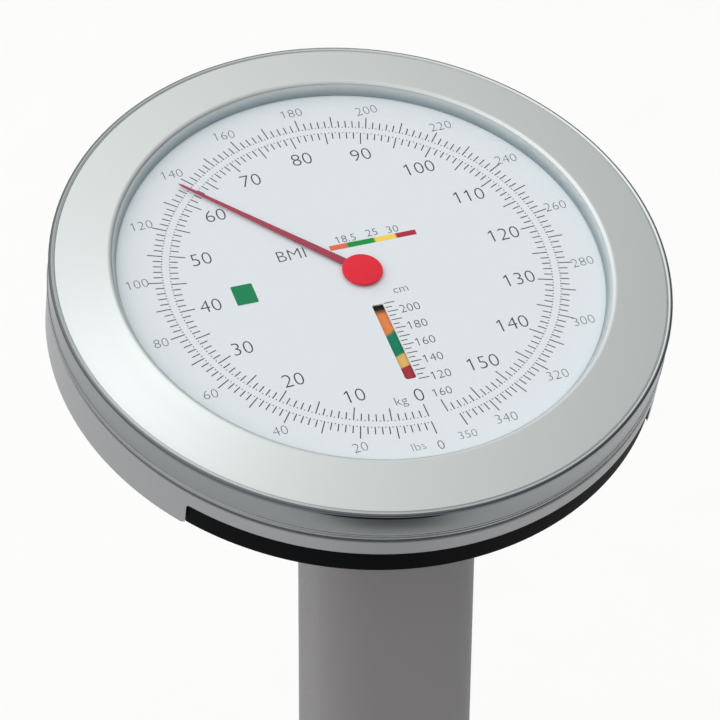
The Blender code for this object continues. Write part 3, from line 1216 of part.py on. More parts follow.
def build_wheels(axis, finishes):
    half = WHEEL_WIDTH / 2
    fork_half = half + FORK_SIDE_GAP + FORK_SHEET
    fork_front = BASE_REAR + GAP
    fork_back = WHEEL_Y + AXLE_HEAD_RADIUS + FORK_SHEET
    rim = WHEEL_RADIUS - TYRE_THICKNESS
    for side, name in ((-1, "left"), (1, "right")):
        x = side * WHEEL_SPREAD
        low = WHEEL_Z - FORK_HEIGHT / 2
        high = WHEEL_Z + FORK_HEIGHT / 2
        fork = place_mesh(
            f"castor_fork_{name}",
            block((x - fork_half, fork_front, low), (x + fork_half, fork_back, high)),
            axis,
            finishes["zinc"],
        )
        gap_half = half + FORK_SIDE_GAP
        throat = block(
            (x - gap_half, fork_front + FORK_SHEET, low - OVERRUN),
            (x + gap_half, fork_back + OVERRUN, high + OVERRUN),
        )
        helper(fork, "throat", throat)
        hole_ends = (x - 2 * fork_half, x + 2 * fork_half)
        hole = drum_across(AXLE_RADIUS + GAP, *hole_ends, SMALL_STEPS, WHEEL_Y, WHEEL_Z)
        helper(fork, "axle_hole", hole)
        place = (x, WHEEL_Y, WHEEL_Z)
        upright = (0, pi / 2, 0)
        wheel = turned(
            [
                (AXLE_RADIUS + GAP, -half),
                (2 * AXLE_RADIUS, -half),
                (2 * AXLE_RADIUS, -half / 2),
                (rim - FORK_SHEET, -half / 2),
                (rim - FORK_SHEET, -half),
                (rim, -half),
                (rim, half),
                (rim - FORK_SHEET, half),
                (rim - FORK_SHEET, half / 2),
                (2 * AXLE_RADIUS, half / 2),
                (2 * AXLE_RADIUS, half),
                (AXLE_RADIUS + GAP, half),
            ],
            ROUND_STEPS,
        )
        place_mesh(f"castor_wheel_{name}", wheel, axis, finishes["wheel"], place, upright)
        tyre = turned(
            [
                (rim + GAP, -half),
                (WHEEL_RADIUS - FORK_SIDE_GAP, -half),
                (WHEEL_RADIUS, -half / 2),
                (WHEEL_RADIUS, half / 2),
                (WHEEL_RADIUS - FORK_SIDE_GAP, half),
                (rim + GAP, half),
            ],
            ROUND_STEPS,
        )
        place_mesh(f"castor_tyre_{name}", tyre, axis, finishes["rubber"], place, upright)
        head_at = fork_half + GAP
        axle = turned(
            [
                (0, -head_at - AXLE_HEAD),
                (AXLE_HEAD_RADIUS, -head_at - AXLE_HEAD),
                (AXLE_HEAD_RADIUS, -head_at),
                (AXLE_RADIUS, -head_at),
                (AXLE_RADIUS, head_at + AXLE_HEAD),
                (0, head_at + AXLE_HEAD),
            ],
            SMALL_STEPS,
        )
        place_mesh(f"castor_axle_{name}", axle, axis, finishes["zinc"], place, upright)


def bar(start, end, width, bottom, top):
    """A straight bar in plan, from one point to another."""
    dx = end[0] - start[0]
    dy = end[1] - start[1]
    length = (dx * dx + dy * dy) ** 0.5
    across = (-dy / length * width / 2, dx / length * width / 2)
    outline = [
        (start[0] - across[0], start[1] - across[1]),
        (end[0] - across[0], end[1] - across[1]),
        (end[0] + across[0], end[1] + across[1]),
        (start[0] + across[0], start[1] + across[1]),
    ]
    return extruded(outline, bottom, top)


def knife(x_inner, side, y, z):
    """A square pin on its edge, sticking out sideways from a lever."""
    reach = side * KNIFE_LENGTH
    left, right = sorted((x_inner, x_inner + reach))
    size = KNIFE_HALF_DIAGONAL
    return extruded_across([(y - size, z), (y, z - size), (y + size, z), (y, z + size)], left, right)


def build_lever(name, axis, material, ends, levels, pivot, knives):
    """Two arms from a pair of fulcrums to one nose, with knife edges for fulcrum and load."""
    nose, nose_radius = ends
    bottom, top = levels
    middle = (bottom + top) / 2
    place = (0, pivot, middle)
    low = bottom - middle
    high = top - middle
    hub = drum(nose_radius, low, high)
    bmesh.ops.translate(hub, verts=hub.verts, vec=(0, nose - pivot, 0))
    lever = place_mesh(name, hub, axis, material, place)
    end_reach = LEVER_BAR_WIDTH / 2
    direction = 1 if nose > pivot else -1
    for side, side_name in ((-1, "left"), (1, "right")):
        x = side * FULCRUM_SPREAD
        slope = FULCRUM_SPREAD / abs(nose - pivot)
        start = (x + side * end_reach * slope, -direction * end_reach)
        arm = bar(start, (0, nose - pivot), LEVER_BAR_WIDTH, low, high)
        helper(lever, f"arm_{side_name}", arm, "UNION", place)
        for number, (spread, y) in enumerate(knives):
            pin = knife(side * spread, side, y - pivot, 0)
            helper(lever, f"knife_{number}_{side_name}", pin, "UNION", place)
    return lever, place


def build_levers(axis, finishes):
    iron = finishes["iron"]
    long_knives = ((FULCRUM_SPREAD, -FRONT_FULCRUM), (FRONT_LOAD_SPREAD, FRONT_LOAD_Y))
    levels = (LONG_LEVER_BOTTOM, LONG_LEVER_TOP)
    ends = (ROD_FROM_AXIS, NOSE_RADIUS)
    lever, place = build_lever("long_lever", axis, iron, ends, levels, -FRONT_FULCRUM, long_knives)
    half_bar = LONG_LEVER_BAR / 2
    bar_y = SHORT_NOSE_Y + FRONT_FULCRUM
    half_span = FULCRUM_SPREAD * (1 - SHORT_LEVER_LENGTH / LONG_LEVER_LENGTH)
    cross = bar((-half_span, bar_y), (half_span, bar_y), CROSS_BAR_WIDTH, -half_bar, half_bar)
    helper(lever, "cross_bar", cross, "UNION", place)
    rod_hole = drum(ROD_RADIUS + 3 * GAP, -LONG_LEVER_BAR, LONG_LEVER_BAR, SMALL_STEPS)
    bmesh.ops.translate(rod_hole, verts=rod_hole.verts, vec=(0, LONG_LEVER_LENGTH, 0))
    helper(lever, "rod_hole", rod_hole, "DIFFERENCE", place)
    link = drum(LINK_RADIUS, LONG_LEVER_TOP + GAP, SHORT_LEVER_BOTTOM - GAP)
    place_mesh("link_block", link, axis, finishes["zinc"], (0, SHORT_NOSE_Y, 0))
    short_knives = ((FULCRUM_SPREAD, -REAR_FULCRUM), (REAR_LOAD_SPREAD, REAR_LOAD_Y))
    levels = (SHORT_LEVER_BOTTOM, SHORT_LEVER_TOP)
    ends = (SHORT_NOSE_Y, SHORT_NOSE_RADIUS)
    build_lever("short_lever", axis, iron, ends, levels, -REAR_FULCRUM, short_knives)
    build_stands(axis, finishes)


def notched_block(width, length, bottom, top, edge, upward):
    """A bearing block along X whose notch takes a knife edge. The notch opens up or down."""
    half = width / 2
    slope = tan(NOTCH_HALF_ANGLE)
    rise = (half - NOTCH_CHEEK) / slope
    if upward:
        outline = [(-half, bottom), (half, bottom), (half, top), (half - NOTCH_CHEEK, top)]
        outline += [(half - NOTCH_CHEEK, edge + rise), (0, edge), (-half + NOTCH_CHEEK, edge + rise)]
        outline += [(-half + NOTCH_CHEEK, top), (-half, top)]
    else:
        outline = [(-half, top), (-half, bottom), (-half + NOTCH_CHEEK, bottom)]
        outline += [(-half + NOTCH_CHEEK, edge - rise), (0, edge), (half - NOTCH_CHEEK, edge - rise)]
        outline += [(half - NOTCH_CHEEK, bottom), (half, bottom), (half, top)]
    return extruded_across(outline, -length / 2, length / 2)


def build_stands(axis, finishes):
    """Four fulcrum stands on the base floor, and four studs under the platform."""
    knife_middle = LEVER_BAR_WIDTH / 2 + KNIFE_LENGTH / 2
    stands = (
        ("front", -FRONT_FULCRUM, LONG_LEVER_MIDDLE),
        ("rear", -REAR_FULCRUM, SHORT_LEVER_MIDDLE),
    )
    for name, y, middle in stands:
        edge = middle - KNIFE_HALF_DIAGONAL - GAP
        stand = notched_block(STAND_WIDTH, STAND_LENGTH, FLOOR_TOP + GAP, edge + NOTCH_CHEEK, edge, True)
        x = FULCRUM_SPREAD + knife_middle
        names = (f"fulcrum_stand_{name}_left", f"fulcrum_stand_{name}_right")
        copies(names, stand, axis, finishes["iron"], ((-x, y, 0), (x, y, 0)))
    rows = (
        ("front", FRONT_LOAD_Y, LONG_LEVER_MIDDLE, FRONT_LOAD_SPREAD),
        ("rear", REAR_LOAD_Y, SHORT_LEVER_MIDDLE, REAR_LOAD_SPREAD),
    )
    for name, y, middle, spread in rows:
        edge = middle + KNIFE_HALF_DIAGONAL + GAP
        stud_top = TRAY_UNDERSIDE - GAP
        stud = notched_block(STAND_WIDTH, STAND_LENGTH, edge - NOTCH_CHEEK, stud_top, edge, False)
        x = spread + knife_middle
        names = (f"platform_stud_{name}_left", f"platform_stud_{name}_right")
        copies(names, stud, axis, finishes["iron"], ((-x, y, 0), (x, y, 0)))


def build_platform(axis, finishes):
    """A steel tray over the base, skirts down, with a ribbed rubber mat on top."""
    half = TRAY_WIDTH / 2
    sheet = TRAY_SHEET
    skirt_bottom = TRAY_TOP - TRAY_SKIRT - TRAY_SHEET
    outer = rounded_box_outline(-half, half, -TRAY_FRONT, -TRAY_REAR, TRAY_CORNER, TRAY_BACK_CORNER)
    tray = place_mesh("platform_tray", extruded(outer, skirt_bottom, TRAY_TOP), axis, finishes["base"])
    inner = rounded_box_outline(
        -half + sheet,
        half - sheet,
        -TRAY_FRONT + sheet,
        -TRAY_REAR - sheet,
        TRAY_CORNER - sheet,
        TRAY_BACK_CORNER - sheet,
    )
    helper(tray, "hollow", extruded(inner, skirt_bottom - OVERRUN, TRAY_UNDERSIDE))
    rear_clear = block(
        (-TRAY_WIDTH, -TRAY_REAR - TRAY_BACK_CORNER, skirt_bottom - OVERRUN),
        (TRAY_WIDTH, 0, TRAY_TOP - TRAY_REAR_SKIRT),
    )
    helper(tray, "rear_clear", rear_clear)
    mat_half = half - MAT_INSET + GAP
    width = 2 * mat_half
    bottom = TRAY_TOP + GAP
    top = TRAY_TOP + GAP + MAT_THICKNESS
    pitch = width / MAT_RIBS
    groove = pitch * MAT_GROOVE_SHARE
    outline = [(-mat_half, bottom), (mat_half, bottom)]
    for number in range(MAT_RIBS):
        right = mat_half - number * pitch
        left = right - pitch + groove
        outline += [(right, top), (left, top)]
        if number < MAT_RIBS - 1:
            outline += [(left, top - MAT_RIB_DEPTH), (left - groove, top - MAT_RIB_DEPTH)]
    outline[-1] = (-mat_half, top)
    mat = extruded(outline, TRAY_REAR, TRAY_FRONT)
    for point in mat.verts:
        point.co = (point.co.x, -point.co.z, point.co.y)
    mat = place_mesh("platform_mat", mat, axis, finishes["rubber"])
    inset = MAT_INSET
    edge = rounded_box_outline(
        -half + inset,
        half - inset,
        -TRAY_FRONT + inset,
        -TRAY_REAR - inset,
        TRAY_CORNER - inset,
        TRAY_BACK_CORNER - inset,
    )
    helper(mat, "edge", extruded(edge, bottom - OVERRUN, top + OVERRUN), "INTERSECT")


def main():
    clear_scene()
    finishes = make_finishes()
    axis = empty("column_axis", (0, COLUMN_Y, 0))
    head = empty("dial_centre", (0, COLUMN_Y + HEAD_SETBACK, DIAL_CENTRE_HEIGHT), HEAD_TILT)
    build_bezel(head, finishes)
    build_dial(head, finishes)
    build_carrier(head, finishes)
    build_housing(head, finishes)
    build_rear_cover(head, finishes)
    build_zero_knob(head, finishes)
    build_pointer(head, finishes)
    build_rack(head, finishes)
    build_crank(axis, finishes)
    build_draw_rod(axis, finishes)
    build_spring(axis, finishes)
    build_bracket(head, axis, finishes)
    build_column(head, axis, finishes)
    build_base(axis, finishes)
    build_column_foot(axis, finishes)
    build_levers(axis, finishes)
    build_platform(axis, finishes)


main()
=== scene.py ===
"""Looks for a mechanical column scale: a Blender add-on layout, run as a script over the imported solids."""

import json
from math import atan2, copysign, cos, pi, radians, sin

import bmesh
import bpy
from mathutils import Matrix, Vector


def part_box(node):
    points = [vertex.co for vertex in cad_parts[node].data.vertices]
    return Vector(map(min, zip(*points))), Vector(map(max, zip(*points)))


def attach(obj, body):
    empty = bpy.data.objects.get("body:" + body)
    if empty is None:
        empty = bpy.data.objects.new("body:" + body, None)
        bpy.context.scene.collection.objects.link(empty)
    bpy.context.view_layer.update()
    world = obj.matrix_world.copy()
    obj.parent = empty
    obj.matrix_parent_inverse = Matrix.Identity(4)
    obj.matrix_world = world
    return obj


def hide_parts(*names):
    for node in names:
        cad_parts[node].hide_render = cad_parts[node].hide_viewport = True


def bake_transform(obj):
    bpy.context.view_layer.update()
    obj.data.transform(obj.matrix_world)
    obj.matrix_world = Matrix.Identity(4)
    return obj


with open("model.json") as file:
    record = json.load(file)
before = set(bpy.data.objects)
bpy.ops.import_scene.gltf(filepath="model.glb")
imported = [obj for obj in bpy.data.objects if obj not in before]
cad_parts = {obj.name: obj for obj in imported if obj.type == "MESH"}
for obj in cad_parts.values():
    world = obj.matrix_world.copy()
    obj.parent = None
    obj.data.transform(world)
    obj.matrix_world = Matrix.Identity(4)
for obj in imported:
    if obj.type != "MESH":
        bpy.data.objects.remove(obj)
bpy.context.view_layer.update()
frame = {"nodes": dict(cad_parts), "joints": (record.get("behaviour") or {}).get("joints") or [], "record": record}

bl_info = {
    "name": "Mechanical Column Scale",
    "version": (1, 0, 0),
    "blender": (4, 5, 0),
    "location": "View3D > Sidebar > Column Scale",
    "description": "Builds the dial head, column, base and platform of a mechanical column scale",
    "category": "Object",
}

MM = 0.001
GAP = 0.3 * MM
SAME_PLACE = 1e-6
TURN = 2 * pi
RING_STEPS = 192
PRINT_HEIGHT = 0.05 * MM

JOINTS = {joint["name"]: joint for joint in frame["joints"]}
DIAL_CENTRE = Vector(JOINTS["pointer_turn"]["pos_m"])
DIAL_FACING = -Vector(JOINTS["pointer_turn"]["axis"])
HEAD_TILT = atan2(-DIAL_FACING.y, DIAL_FACING.z)
HEAD = Matrix.Translation(DIAL_CENTRE) @ Matrix.Rotation(HEAD_TILT, 4, "X")
COLUMN_LOW, COLUMN_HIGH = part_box("column_tube")
COLUMN = Matrix.Translation((0, (COLUMN_LOW.y + COLUMN_HIGH.y) / 2, 0))
COLUMN_HALF_WIDTH = (COLUMN_HIGH.x - COLUMN_LOW.x) / 2
COLUMN_HALF_DEPTH = (COLUMN_HIGH.y - COLUMN_LOW.y) / 2
COLUMN_SQUARENESS = 0.62

# The dial reads clockwise from its lowest point.
ZERO_ANGLE = radians(-90)
FULL_SCALE = 160
KILOGRAM_TURN = radians(353.94) / FULL_SCALE
POUND_TURN = KILOGRAM_TURN * 0.45359237
REST_READING = 62.3
SLOT_NEAR = 20.3 * MM
SLOT_FAR = 65.2 * MM
SLOT_WIDTH = 5.3 * MM
CENTIMETRE_STEP = 0.507 * MM
HEIGHT_120_PLACE = 66.0 * MM
# The disc's print stands this much further out than the height marks, as it shows through the slot.
DISC_PRINT_SHIFT = 3.1 * MM
LEGEND_LEFT = -9.6 * MM
LEGEND_RIGHT = 32.3 * MM

# The lettering font's figures at size 1: their pitch, and the flag of a figure one. It is just less deep
# than the stem, so that their faces never lie in one plane.
FIGURE_PITCH = 0.5
FLAG_LEFT = 0.1
FLAG_MIDDLE = Vector((0.18, 0.59, 0))
FLAG_SLANT = radians(38)
FLAG_LENGTH = 0.2
FLAG_WIDTH = 0.11
FLAG_DEPTH = 0.98


def linear(hex_colour):
    """An sRGB hex colour as linear red, green and blue."""
    values = [int(hex_colour[place : place + 2], 16) / 255 for place in (1, 3, 5)]
    return [v / 12.92 if v <= 0.04045 else ((v + 0.055) / 1.055) ** 2.4 for v in values]


def length(name, description, millimetres):
    return bpy.props.FloatProperty(
        name=name,
        description=description,
        default=millimetres * MM,
        subtype="DISTANCE",
        unit="LENGTH",
        precision=4,
    )


def count(name, description, number, least):
    return bpy.props.IntProperty(name=name, description=description, default=number, min=least)


def colour(name, description, hex_colour):
    return bpy.props.FloatVectorProperty(
        name=name, description=description, default=linear(hex_colour), subtype="COLOR", min=0, max=1
    )


class HeadSizes(bpy.types.PropertyGroup):
    head_radius: length("Head radius", "Outside of the bezel ring", 142)
    crest_radius: length("Crest radius", "Circle of the bezel's inner crest", 115.4)
    crest_height: length("Crest height", "Crest above the dial", 6.8)
    crest_round: length("Crest round", "Radius of the crest's rolled edge", 2.5)
    face_edge_radius: length("Face edge radius", "Where the sloping face meets its outer roll", 139.4)
    face_edge_height: length("Face edge height", "Face's outer edge above the dial", 2.0)
    side_depth: length("Side depth", "Bottom of the bezel's plain side below the dial", 12.7)
    foot_depth: length("Foot depth", "Bottom of the bezel below the dial", 16.6)
    sheet: length("Bezel sheet", "Thickness of the bezel's steel", 1.3)
    housing_depth: length("Housing depth", "Back of the head below the dial", 38.5)
    housing_sheet: length("Housing sheet", "Thickness of the housing band", 1.4)
    cutout_depth: length("Cut-out depth", "Top of the band's cut-out below the dial", 24.6)
    cutout_angle: bpy.props.FloatProperty(
        name="Cut-out half angle",
        description="Half of the arc that the black insert fills",
        default=radians(51.1),
        subtype="ANGLE",
        unit="ROTATION",
    )
    cutout_corner: length("Cut-out corner", "Radius of the insert's upper corners", 1.8)
    insert_gap: length("Insert gap", "Bright line between band and insert", 0.9)


class PrintSizes(bpy.types.PropertyGroup):
    kilogram_outer: length("Kilogram ticks, outer end", "Circle of the kilogram scale", 87.5)
    kilogram_long: length("Long kilogram ticks, inner end", "Every 5 kg", 80.3)
    kilogram_short: length("Short kilogram ticks, inner end", "Every 1 kg", 83.5)
    kilogram_numerals: length("Kilogram numerals", "Circle of their middles", 73.5)
    kilogram_height: length("Kilogram numeral height", "Height of a digit", 7.0)
    pound_inner: length("Pound ticks, inner end", "Circle of the pound scale", 90.6)
    pound_long: length("Long pound ticks, outer end", "Every 10 lb", 97.6)
    pound_short: length("Short pound ticks, outer end", "Every 2 lb", 94.8)
    pound_numerals: length("Pound numerals", "Circle of their middles", 102.5)
    pound_height: length("Pound numeral height", "Height of a digit", 4.8)
    tick_width: length("Tick width", "Width of a printed tick", 0.48)
    dot_width: length("Dot width", "Width of a printed dot", 0.5)


class PointerSizes(bpy.types.PropertyGroup):
    hub_radius: length("Hub radius", "Red disc at the pointer's middle", 9.3)
    reach: length("Pointer length", "From the middle to the tip", 96.5)
    root_width: length("Root width", "Pointer's width at the hub", 4.2)
    tip_width: length("Tip width", "Pointer's width near the tip", 1.1)
    lift: length("Lift", "Hub's underside above the dial", 0.9)


class StandSizes(bpy.types.PropertyGroup):
    column_wall: length("Column wall", "Thickness of the column's tube", 2.5)
    base_corner: length("Base corner", "Radius of the base's corners", 22)
    tray_corner: length("Platform corner", "Radius of the platform's front corners", 26)
    tray_back_corner: length("Platform back corner", "Radius of the platform's back corners", 10)
    rib_count: count("Mat ribs", "Ribs across the rubber mat", 22, 4)
    rib_depth: length("Rib depth", "Depth of the grooves in the mat", 1.6)
    knob_ribs: count("Knob ribs", "Ribs round the zero knob", 14, 6)
    spring_wire: length("Spring wire", "Thickness of the measuring spring's wire", 3.2)
    spring_turns: count("Spring turns", "Turns of the measuring spring", 9, 5)


class FinishColours(bpy.types.PropertyGroup):
    bezel: colour("Bezel", "Satin stainless face", "#C5CAC9")
    # The ring's side, roll and bead tones are its own steel painted darker or lighter: painted shade, painted
    # reflection and painted highlight.
    bezel_side: colour("Bezel side", "Plain side of the ring", "#878B8D")
    bezel_roll: colour("Bezel roll", "Polished roll round the face", "#5C6266")
    bezel_bead: colour("Bezel bead", "Rolled beads at the ring's foot", "#8C9092")
    housing: colour("Housing", "Grey lacquer on the band", "#98999B")
    insert: colour("Insert", "Black moulding under the head", "#0B0C0E")
    dial: colour("Dial", "Pale blue white enamel", "#DDE2E7")
    # Painted light: the rim's cooler tone stands for light coming through the glass edge.
    dial_rim: colour("Dial rim", "Cooler tone near the dial's edge", "#DEE7EA")
    kilogram_ink: colour("Kilogram ink", "Dark grey print", "#3C424A")
    pound_ink: colour("Pound ink", "Lighter grey print", "#595F66")
    # Painted shade and highlight: the spacer is painted darker at the dial and lighter up at the bezel's lip.
    spacer: colour("Spacer", "Grey green ring under the glass", "#8D9EA4")
    spacer_top: colour("Spacer top", "Lighter tone of the ring near the lip", "#CFD6D6")
    hub: colour("Hub", "Signal red lacquer", "#DF062A")
    # Painted shade: the arm's red is the hub's lacquer painted darker and duller.
    pointer: colour("Pointer", "Darker red of the arm", "#A33A50")
    low_zone: colour("Low zone", "Orange print of the legend", "#DE6B4D")
    good_zone: colour("Good zone", "Green print of the legend", "#00903C")
    raised_zone: colour("Raised zone", "Yellow print of the legend", "#F0D25A")
    high_zone: colour("High zone", "Red print of the legend", "#AC2440")
    disc_low: colour("Disc, low zone", "Orange print of the disc", "#E2864A")
    disc_good: colour("Disc, good zone", "Green print of the disc", "#007D5B")
    disc_raised: colour("Disc, raised zone", "Yellow print of the disc", "#E0B566")
    disc_high: colour("Disc, high zone", "Red print of the disc", "#A42C38")
    # Painted shadow: the black round the disc's middle stands for the shade at the top of the slot.
    disc_middle: colour("Disc, middle", "Black print round the disc's middle", "#15171A")
    sticker: colour("Square", "Bare green square", "#0A8050")
    column: colour("Column", "Grey paint", "#7F7D7E")
    base: colour("Base", "Darker grey paint", "#6E7073")
    moulding: colour("Moulding", "Grey ABS skirt", "#76787A")
    rubber: colour("Rubber", "Mat, feet and tyres", "#26272A")


class StageSettings(bpy.types.PropertyGroup):
    lens: bpy.props.FloatProperty(
        name="Lens", description="Focal length on a 36 mm frame", default=182.5, unit="CAMERA"
    )
    floor: colour("Floor", "Plain pale floor", "#F8F8F7")
    key_power: bpy.props.FloatProperty(
        name="Key light", description="Power of the small soft light overhead", default=0.8, unit="POWER"
    )
    side_power: bpy.props.FloatProperty(
        name="Side light", description="Power of the soft light at the left", default=1.2, unit="POWER"
    )
    sky: bpy.props.FloatProperty(
        name="Room light", description="Strength of the even light all round", default=1.0, min=0
    )


def add_node(tree, kind, inputs=None, stops=(), **settings):
    """Adds a node with its settings, and its inputs' values or links. A ramp's first stop is at 0."""
    node = tree.nodes.new(kind)
    for setting, value in settings.items():
        setattr(node, setting, value)
    if stops:
        elements = node.color_ramp.elements
        elements.remove(elements[1])
        elements[0].color = (*stops[0][1], 1)
        for place, shade in stops[1:]:
            elements.new(place).color = (*shade, 1)
    for socket, value in (inputs or {}).items():
        if isinstance(value, bpy.types.NodeSocket):
            tree.links.new(value, node.inputs[socket])
        else:
            node.inputs[socket].default_value = value
    return node


def new_material(name, base, roughness, **constants):
    """A Principled material. Values that are the same all over sit on the shader's own sockets."""
    material = bpy.data.materials.new(name)
    material.use_nodes = True
    tree = material.node_tree
    shader = tree.nodes["Principled BSDF"]
    shader.inputs["Base Color"].default_value = (*base, 1)
    shader.inputs["Roughness"].default_value = roughness
    for socket, value in constants.items():
        shader.inputs[socket.replace("_", " ")].default_value = value
    return material, tree, shader


def on_head(tree, turn=0.0):
    """Coordinates centred on the dial: right, up the dial, and out of it. They may be turned round it."""
    place = add_node(tree, "ShaderNodeTexCoord").outputs["Object"]
    for where, angles in ((DIAL_CENTRE, (HEAD_TILT, 0, 0)), ((0, 0, 0), (0, 0, turn))):
        if angles != (0, 0, 0):
            inputs = {"Vector": place, "Location": where, "Rotation": angles}
            place = add_node(tree, "ShaderNodeMapping", inputs, vector_type="TEXTURE").outputs["Vector"]
    return place


def round_the_dial(tree, turn=0.0):
    """The three parts of a place on the head, and its distance from the dial's axis."""
    parts = add_node(tree, "ShaderNodeSeparateXYZ", {"Vector": on_head(tree, turn)}).outputs
    flat = add_node(tree, "ShaderNodeCombineXYZ", {"X": parts["X"], "Y": parts["Y"]})
    radius = add_node(tree, "ShaderNodeVectorMath", {0: flat.outputs["Vector"]}, operation="LENGTH")
    return parts, radius.outputs["Value"]


def faded_tone(tree, shader, value, low, high, *tones, **settings):
    """The base colour, between two tones as a value goes from low to high in mm. It gives their share."""
    inputs = {"Value": value, "From Min": low * MM, "From Max": high * MM}
    share = add_node(tree, "ShaderNodeMapRange", inputs, **settings).outputs["Result"]
    near, far = [tone if isinstance(tone, bpy.types.NodeSocket) else (*tone, 1) for tone in tones]
    tone = add_node(tree, "ShaderNodeMix", {"Factor": share, "A": near, "B": far}, data_type="RGBA")
    tree.links.new(tone.outputs["Result"], shader.inputs["Base Color"])
    return share


def low_relief(tree, shader, where, grain, depth, strength=1.0, detail=2.0):
    """Noise of a grain size as a relief, both in mm. It gives the noise back, for the gloss to follow."""
    inputs = {"Vector": where, "Scale": 1 / (grain * MM), "Detail": detail}
    noise = add_node(tree, "ShaderNodeTexNoise", inputs).outputs["Fac"]
    inputs = {"Height": noise, "Distance": depth * MM, "Strength": strength}
    bump = add_node(tree, "ShaderNodeBump", inputs)
    tree.links.new(bump.outputs["Normal"], shader.inputs["Normal"])
    return noise


def dressed(name, base, roughness, grain, relief, mottle=0.05, spread=0.05, **constants):
    """A finish with broad tone drift, and a fine grain in its gloss and relief, with sizes in mm."""
    material, tree, shader = new_material(name, base, roughness, **constants)
    where = add_node(tree, "ShaderNodeTexCoord").outputs["Object"]
    # Tones drift over about 90 mm.
    drift = add_node(tree, "ShaderNodeTexNoise", {"Vector": where, "Scale": 1 / (90 * MM), "Detail": 3.0})
    dark, pale = [(*(min(1, v * (1 + change)) for v in base), 1) for change in (-mottle, mottle)]
    inputs = {"Factor": drift.outputs["Fac"], "A": dark, "B": pale}
    tone = add_node(tree, "ShaderNodeMix", inputs, data_type="RGBA")
    tree.links.new(tone.outputs["Result"], shader.inputs["Base Color"])
    fine = low_relief(tree, shader, where, grain, relief, 0.6)
    ends = {"From Min": 0.3, "From Max": 0.7, "To Min": roughness - spread, "To Max": roughness + spread}
    gloss = add_node(tree, "ShaderNodeMapRange", {"Value": fine, **ends})
    tree.links.new(gloss.outputs["Result"], shader.inputs["Roughness"])
    return material


def zone_stops(limits, blend, shades):
    """A ramp's stops for zones of colour that change at limits, with a blend on each side of them."""
    places = [0.0, *(limit + side for limit in limits for side in (-blend, blend))]
    return list(zip(places, [shade for shade in shades for _ in range(2)]))


def satin_stainless_steel(colours):
    """Stainless sheet: the sloping face brushed bright in rings, its roll polished. Its roll, side and beads carry
    painted reflection, shade and highlight in their tone.
    """
    material, tree, shader = new_material("satin stainless steel", colours.bezel, 0.3, Metallic=1.0)
    parts, radius = round_the_dial(tree)
    # The edge's tone and gloss change up its side: rolled beads, plain side, polished roll. The tones are painted:
    # a lighter bead as painted highlight, a darker side as painted shade, a dark roll as painted reflection.
    # Heights in mm.
    low, high, bead_top, roll_foot = -17, 3, -11.3, -0.6
    inputs = {"Value": parts["Z"], "From Min": low * MM, "From Max": high * MM}
    rise = add_node(tree, "ShaderNodeMapRange", inputs).outputs["Result"]
    bead_top, roll_foot = [(height - low) / (high - low) for height in (bead_top, roll_foot)]
    places = (0.0, bead_top, bead_top + 0.01, roll_foot, roll_foot + 0.04)
    tones = (colours.bezel_bead, colours.bezel_side, colours.bezel_roll)
    glosses = ([0.2] * 3, [0.34] * 3, [0.13] * 3)
    edge = []
    for bead, plain, roll in (tones, glosses):
        stops = list(zip(places, (bead, bead, plain, plain, roll)))
        edge.append(add_node(tree, "ShaderNodeValToRGB", {"Fac": rise}, stops).outputs["Color"])
    side = faded_tone(tree, shader, radius, 140.3, 140.9, colours.bezel, edge[0])
    # Brush lines are about 0.1 mm apart, drawn at 0.5 mm so that they show.
    rings = add_node(tree, "ShaderNodeCombineXYZ", {"X": radius, "Y": parts["Z"]}).outputs["Vector"]
    lines = low_relief(tree, shader, rings, 0.5, 0.004, 0.35, 3.0)
    brushed = add_node(tree, "ShaderNodeMapRange", {"Value": lines, "To Min": 0.28, "To Max": 0.42})
    inputs = {"Factor": side, "A": brushed.outputs["Result"], "B": edge[1]}
    gloss = add_node(tree, "ShaderNodeMix", inputs)
    tree.links.new(gloss.outputs["Result"], shader.inputs["Roughness"])
    return material


def grey_metallic_lacquer(colours):
    """Stoved metallic lacquer on steel: fine flake, with a satin coat."""
    shine = {"Metallic": 0.5, "Specular_IOR_Level": 0.3}
    return dressed("grey metallic lacquer", colours.housing, 0.42, 0.4, 0.01, **shine)


def gloss_black_abs(colours):
    """Injection-moulded ABS: deep black, with hardly a highlight in the head's shade."""
    return dressed("gloss black ABS", colours.insert, 0.55, 0.6, 0.015, Specular_IOR_Level=0.02)


def blue_white_enamel(colours):
    """Stoved enamel on aluminium sheet, with a painted cooler tint towards the rim for the light that comes
    through the glass edge.
    """
    material, tree, shader = new_material("blue white enamel", colours.dial, 0.55, Specular_IOR_Level=0.3)
    _, radius = round_the_dial(tree)
    # Painted light: the cooler rim stands for light through the glass edge.
    tones = (colours.dial, colours.dial_rim)
    faded_tone(tree, shader, radius, 100, 116, *tones, interpolation_type="SMOOTHSTEP")
    # Enamel's faint orange peel has waves of about 2 mm.
    low_relief(tree, shader, on_head(tree), 2, 0.004)
    return material


def float_glass(_colours):
    """Float glass 2 mm thick: clear, faintly green, with a sharp shine."""
    material, tree, shader = new_material("float glass", linear("#CFE6E4"), 0.04, IOR=1.52, Alpha=0.006)
    smear = add_node(tree, "ShaderNodeTexNoise", {"Vector": on_head(tree), "Scale": 1 / (40 * MM)})
    inputs = {"Value": smear.outputs["Fac"], "To Min": 0.03, "To Max": 0.07}
    gloss = add_node(tree, "ShaderNodeMapRange", inputs)
    tree.links.new(gloss.outputs["Result"], shader.inputs["Roughness"])
    return material


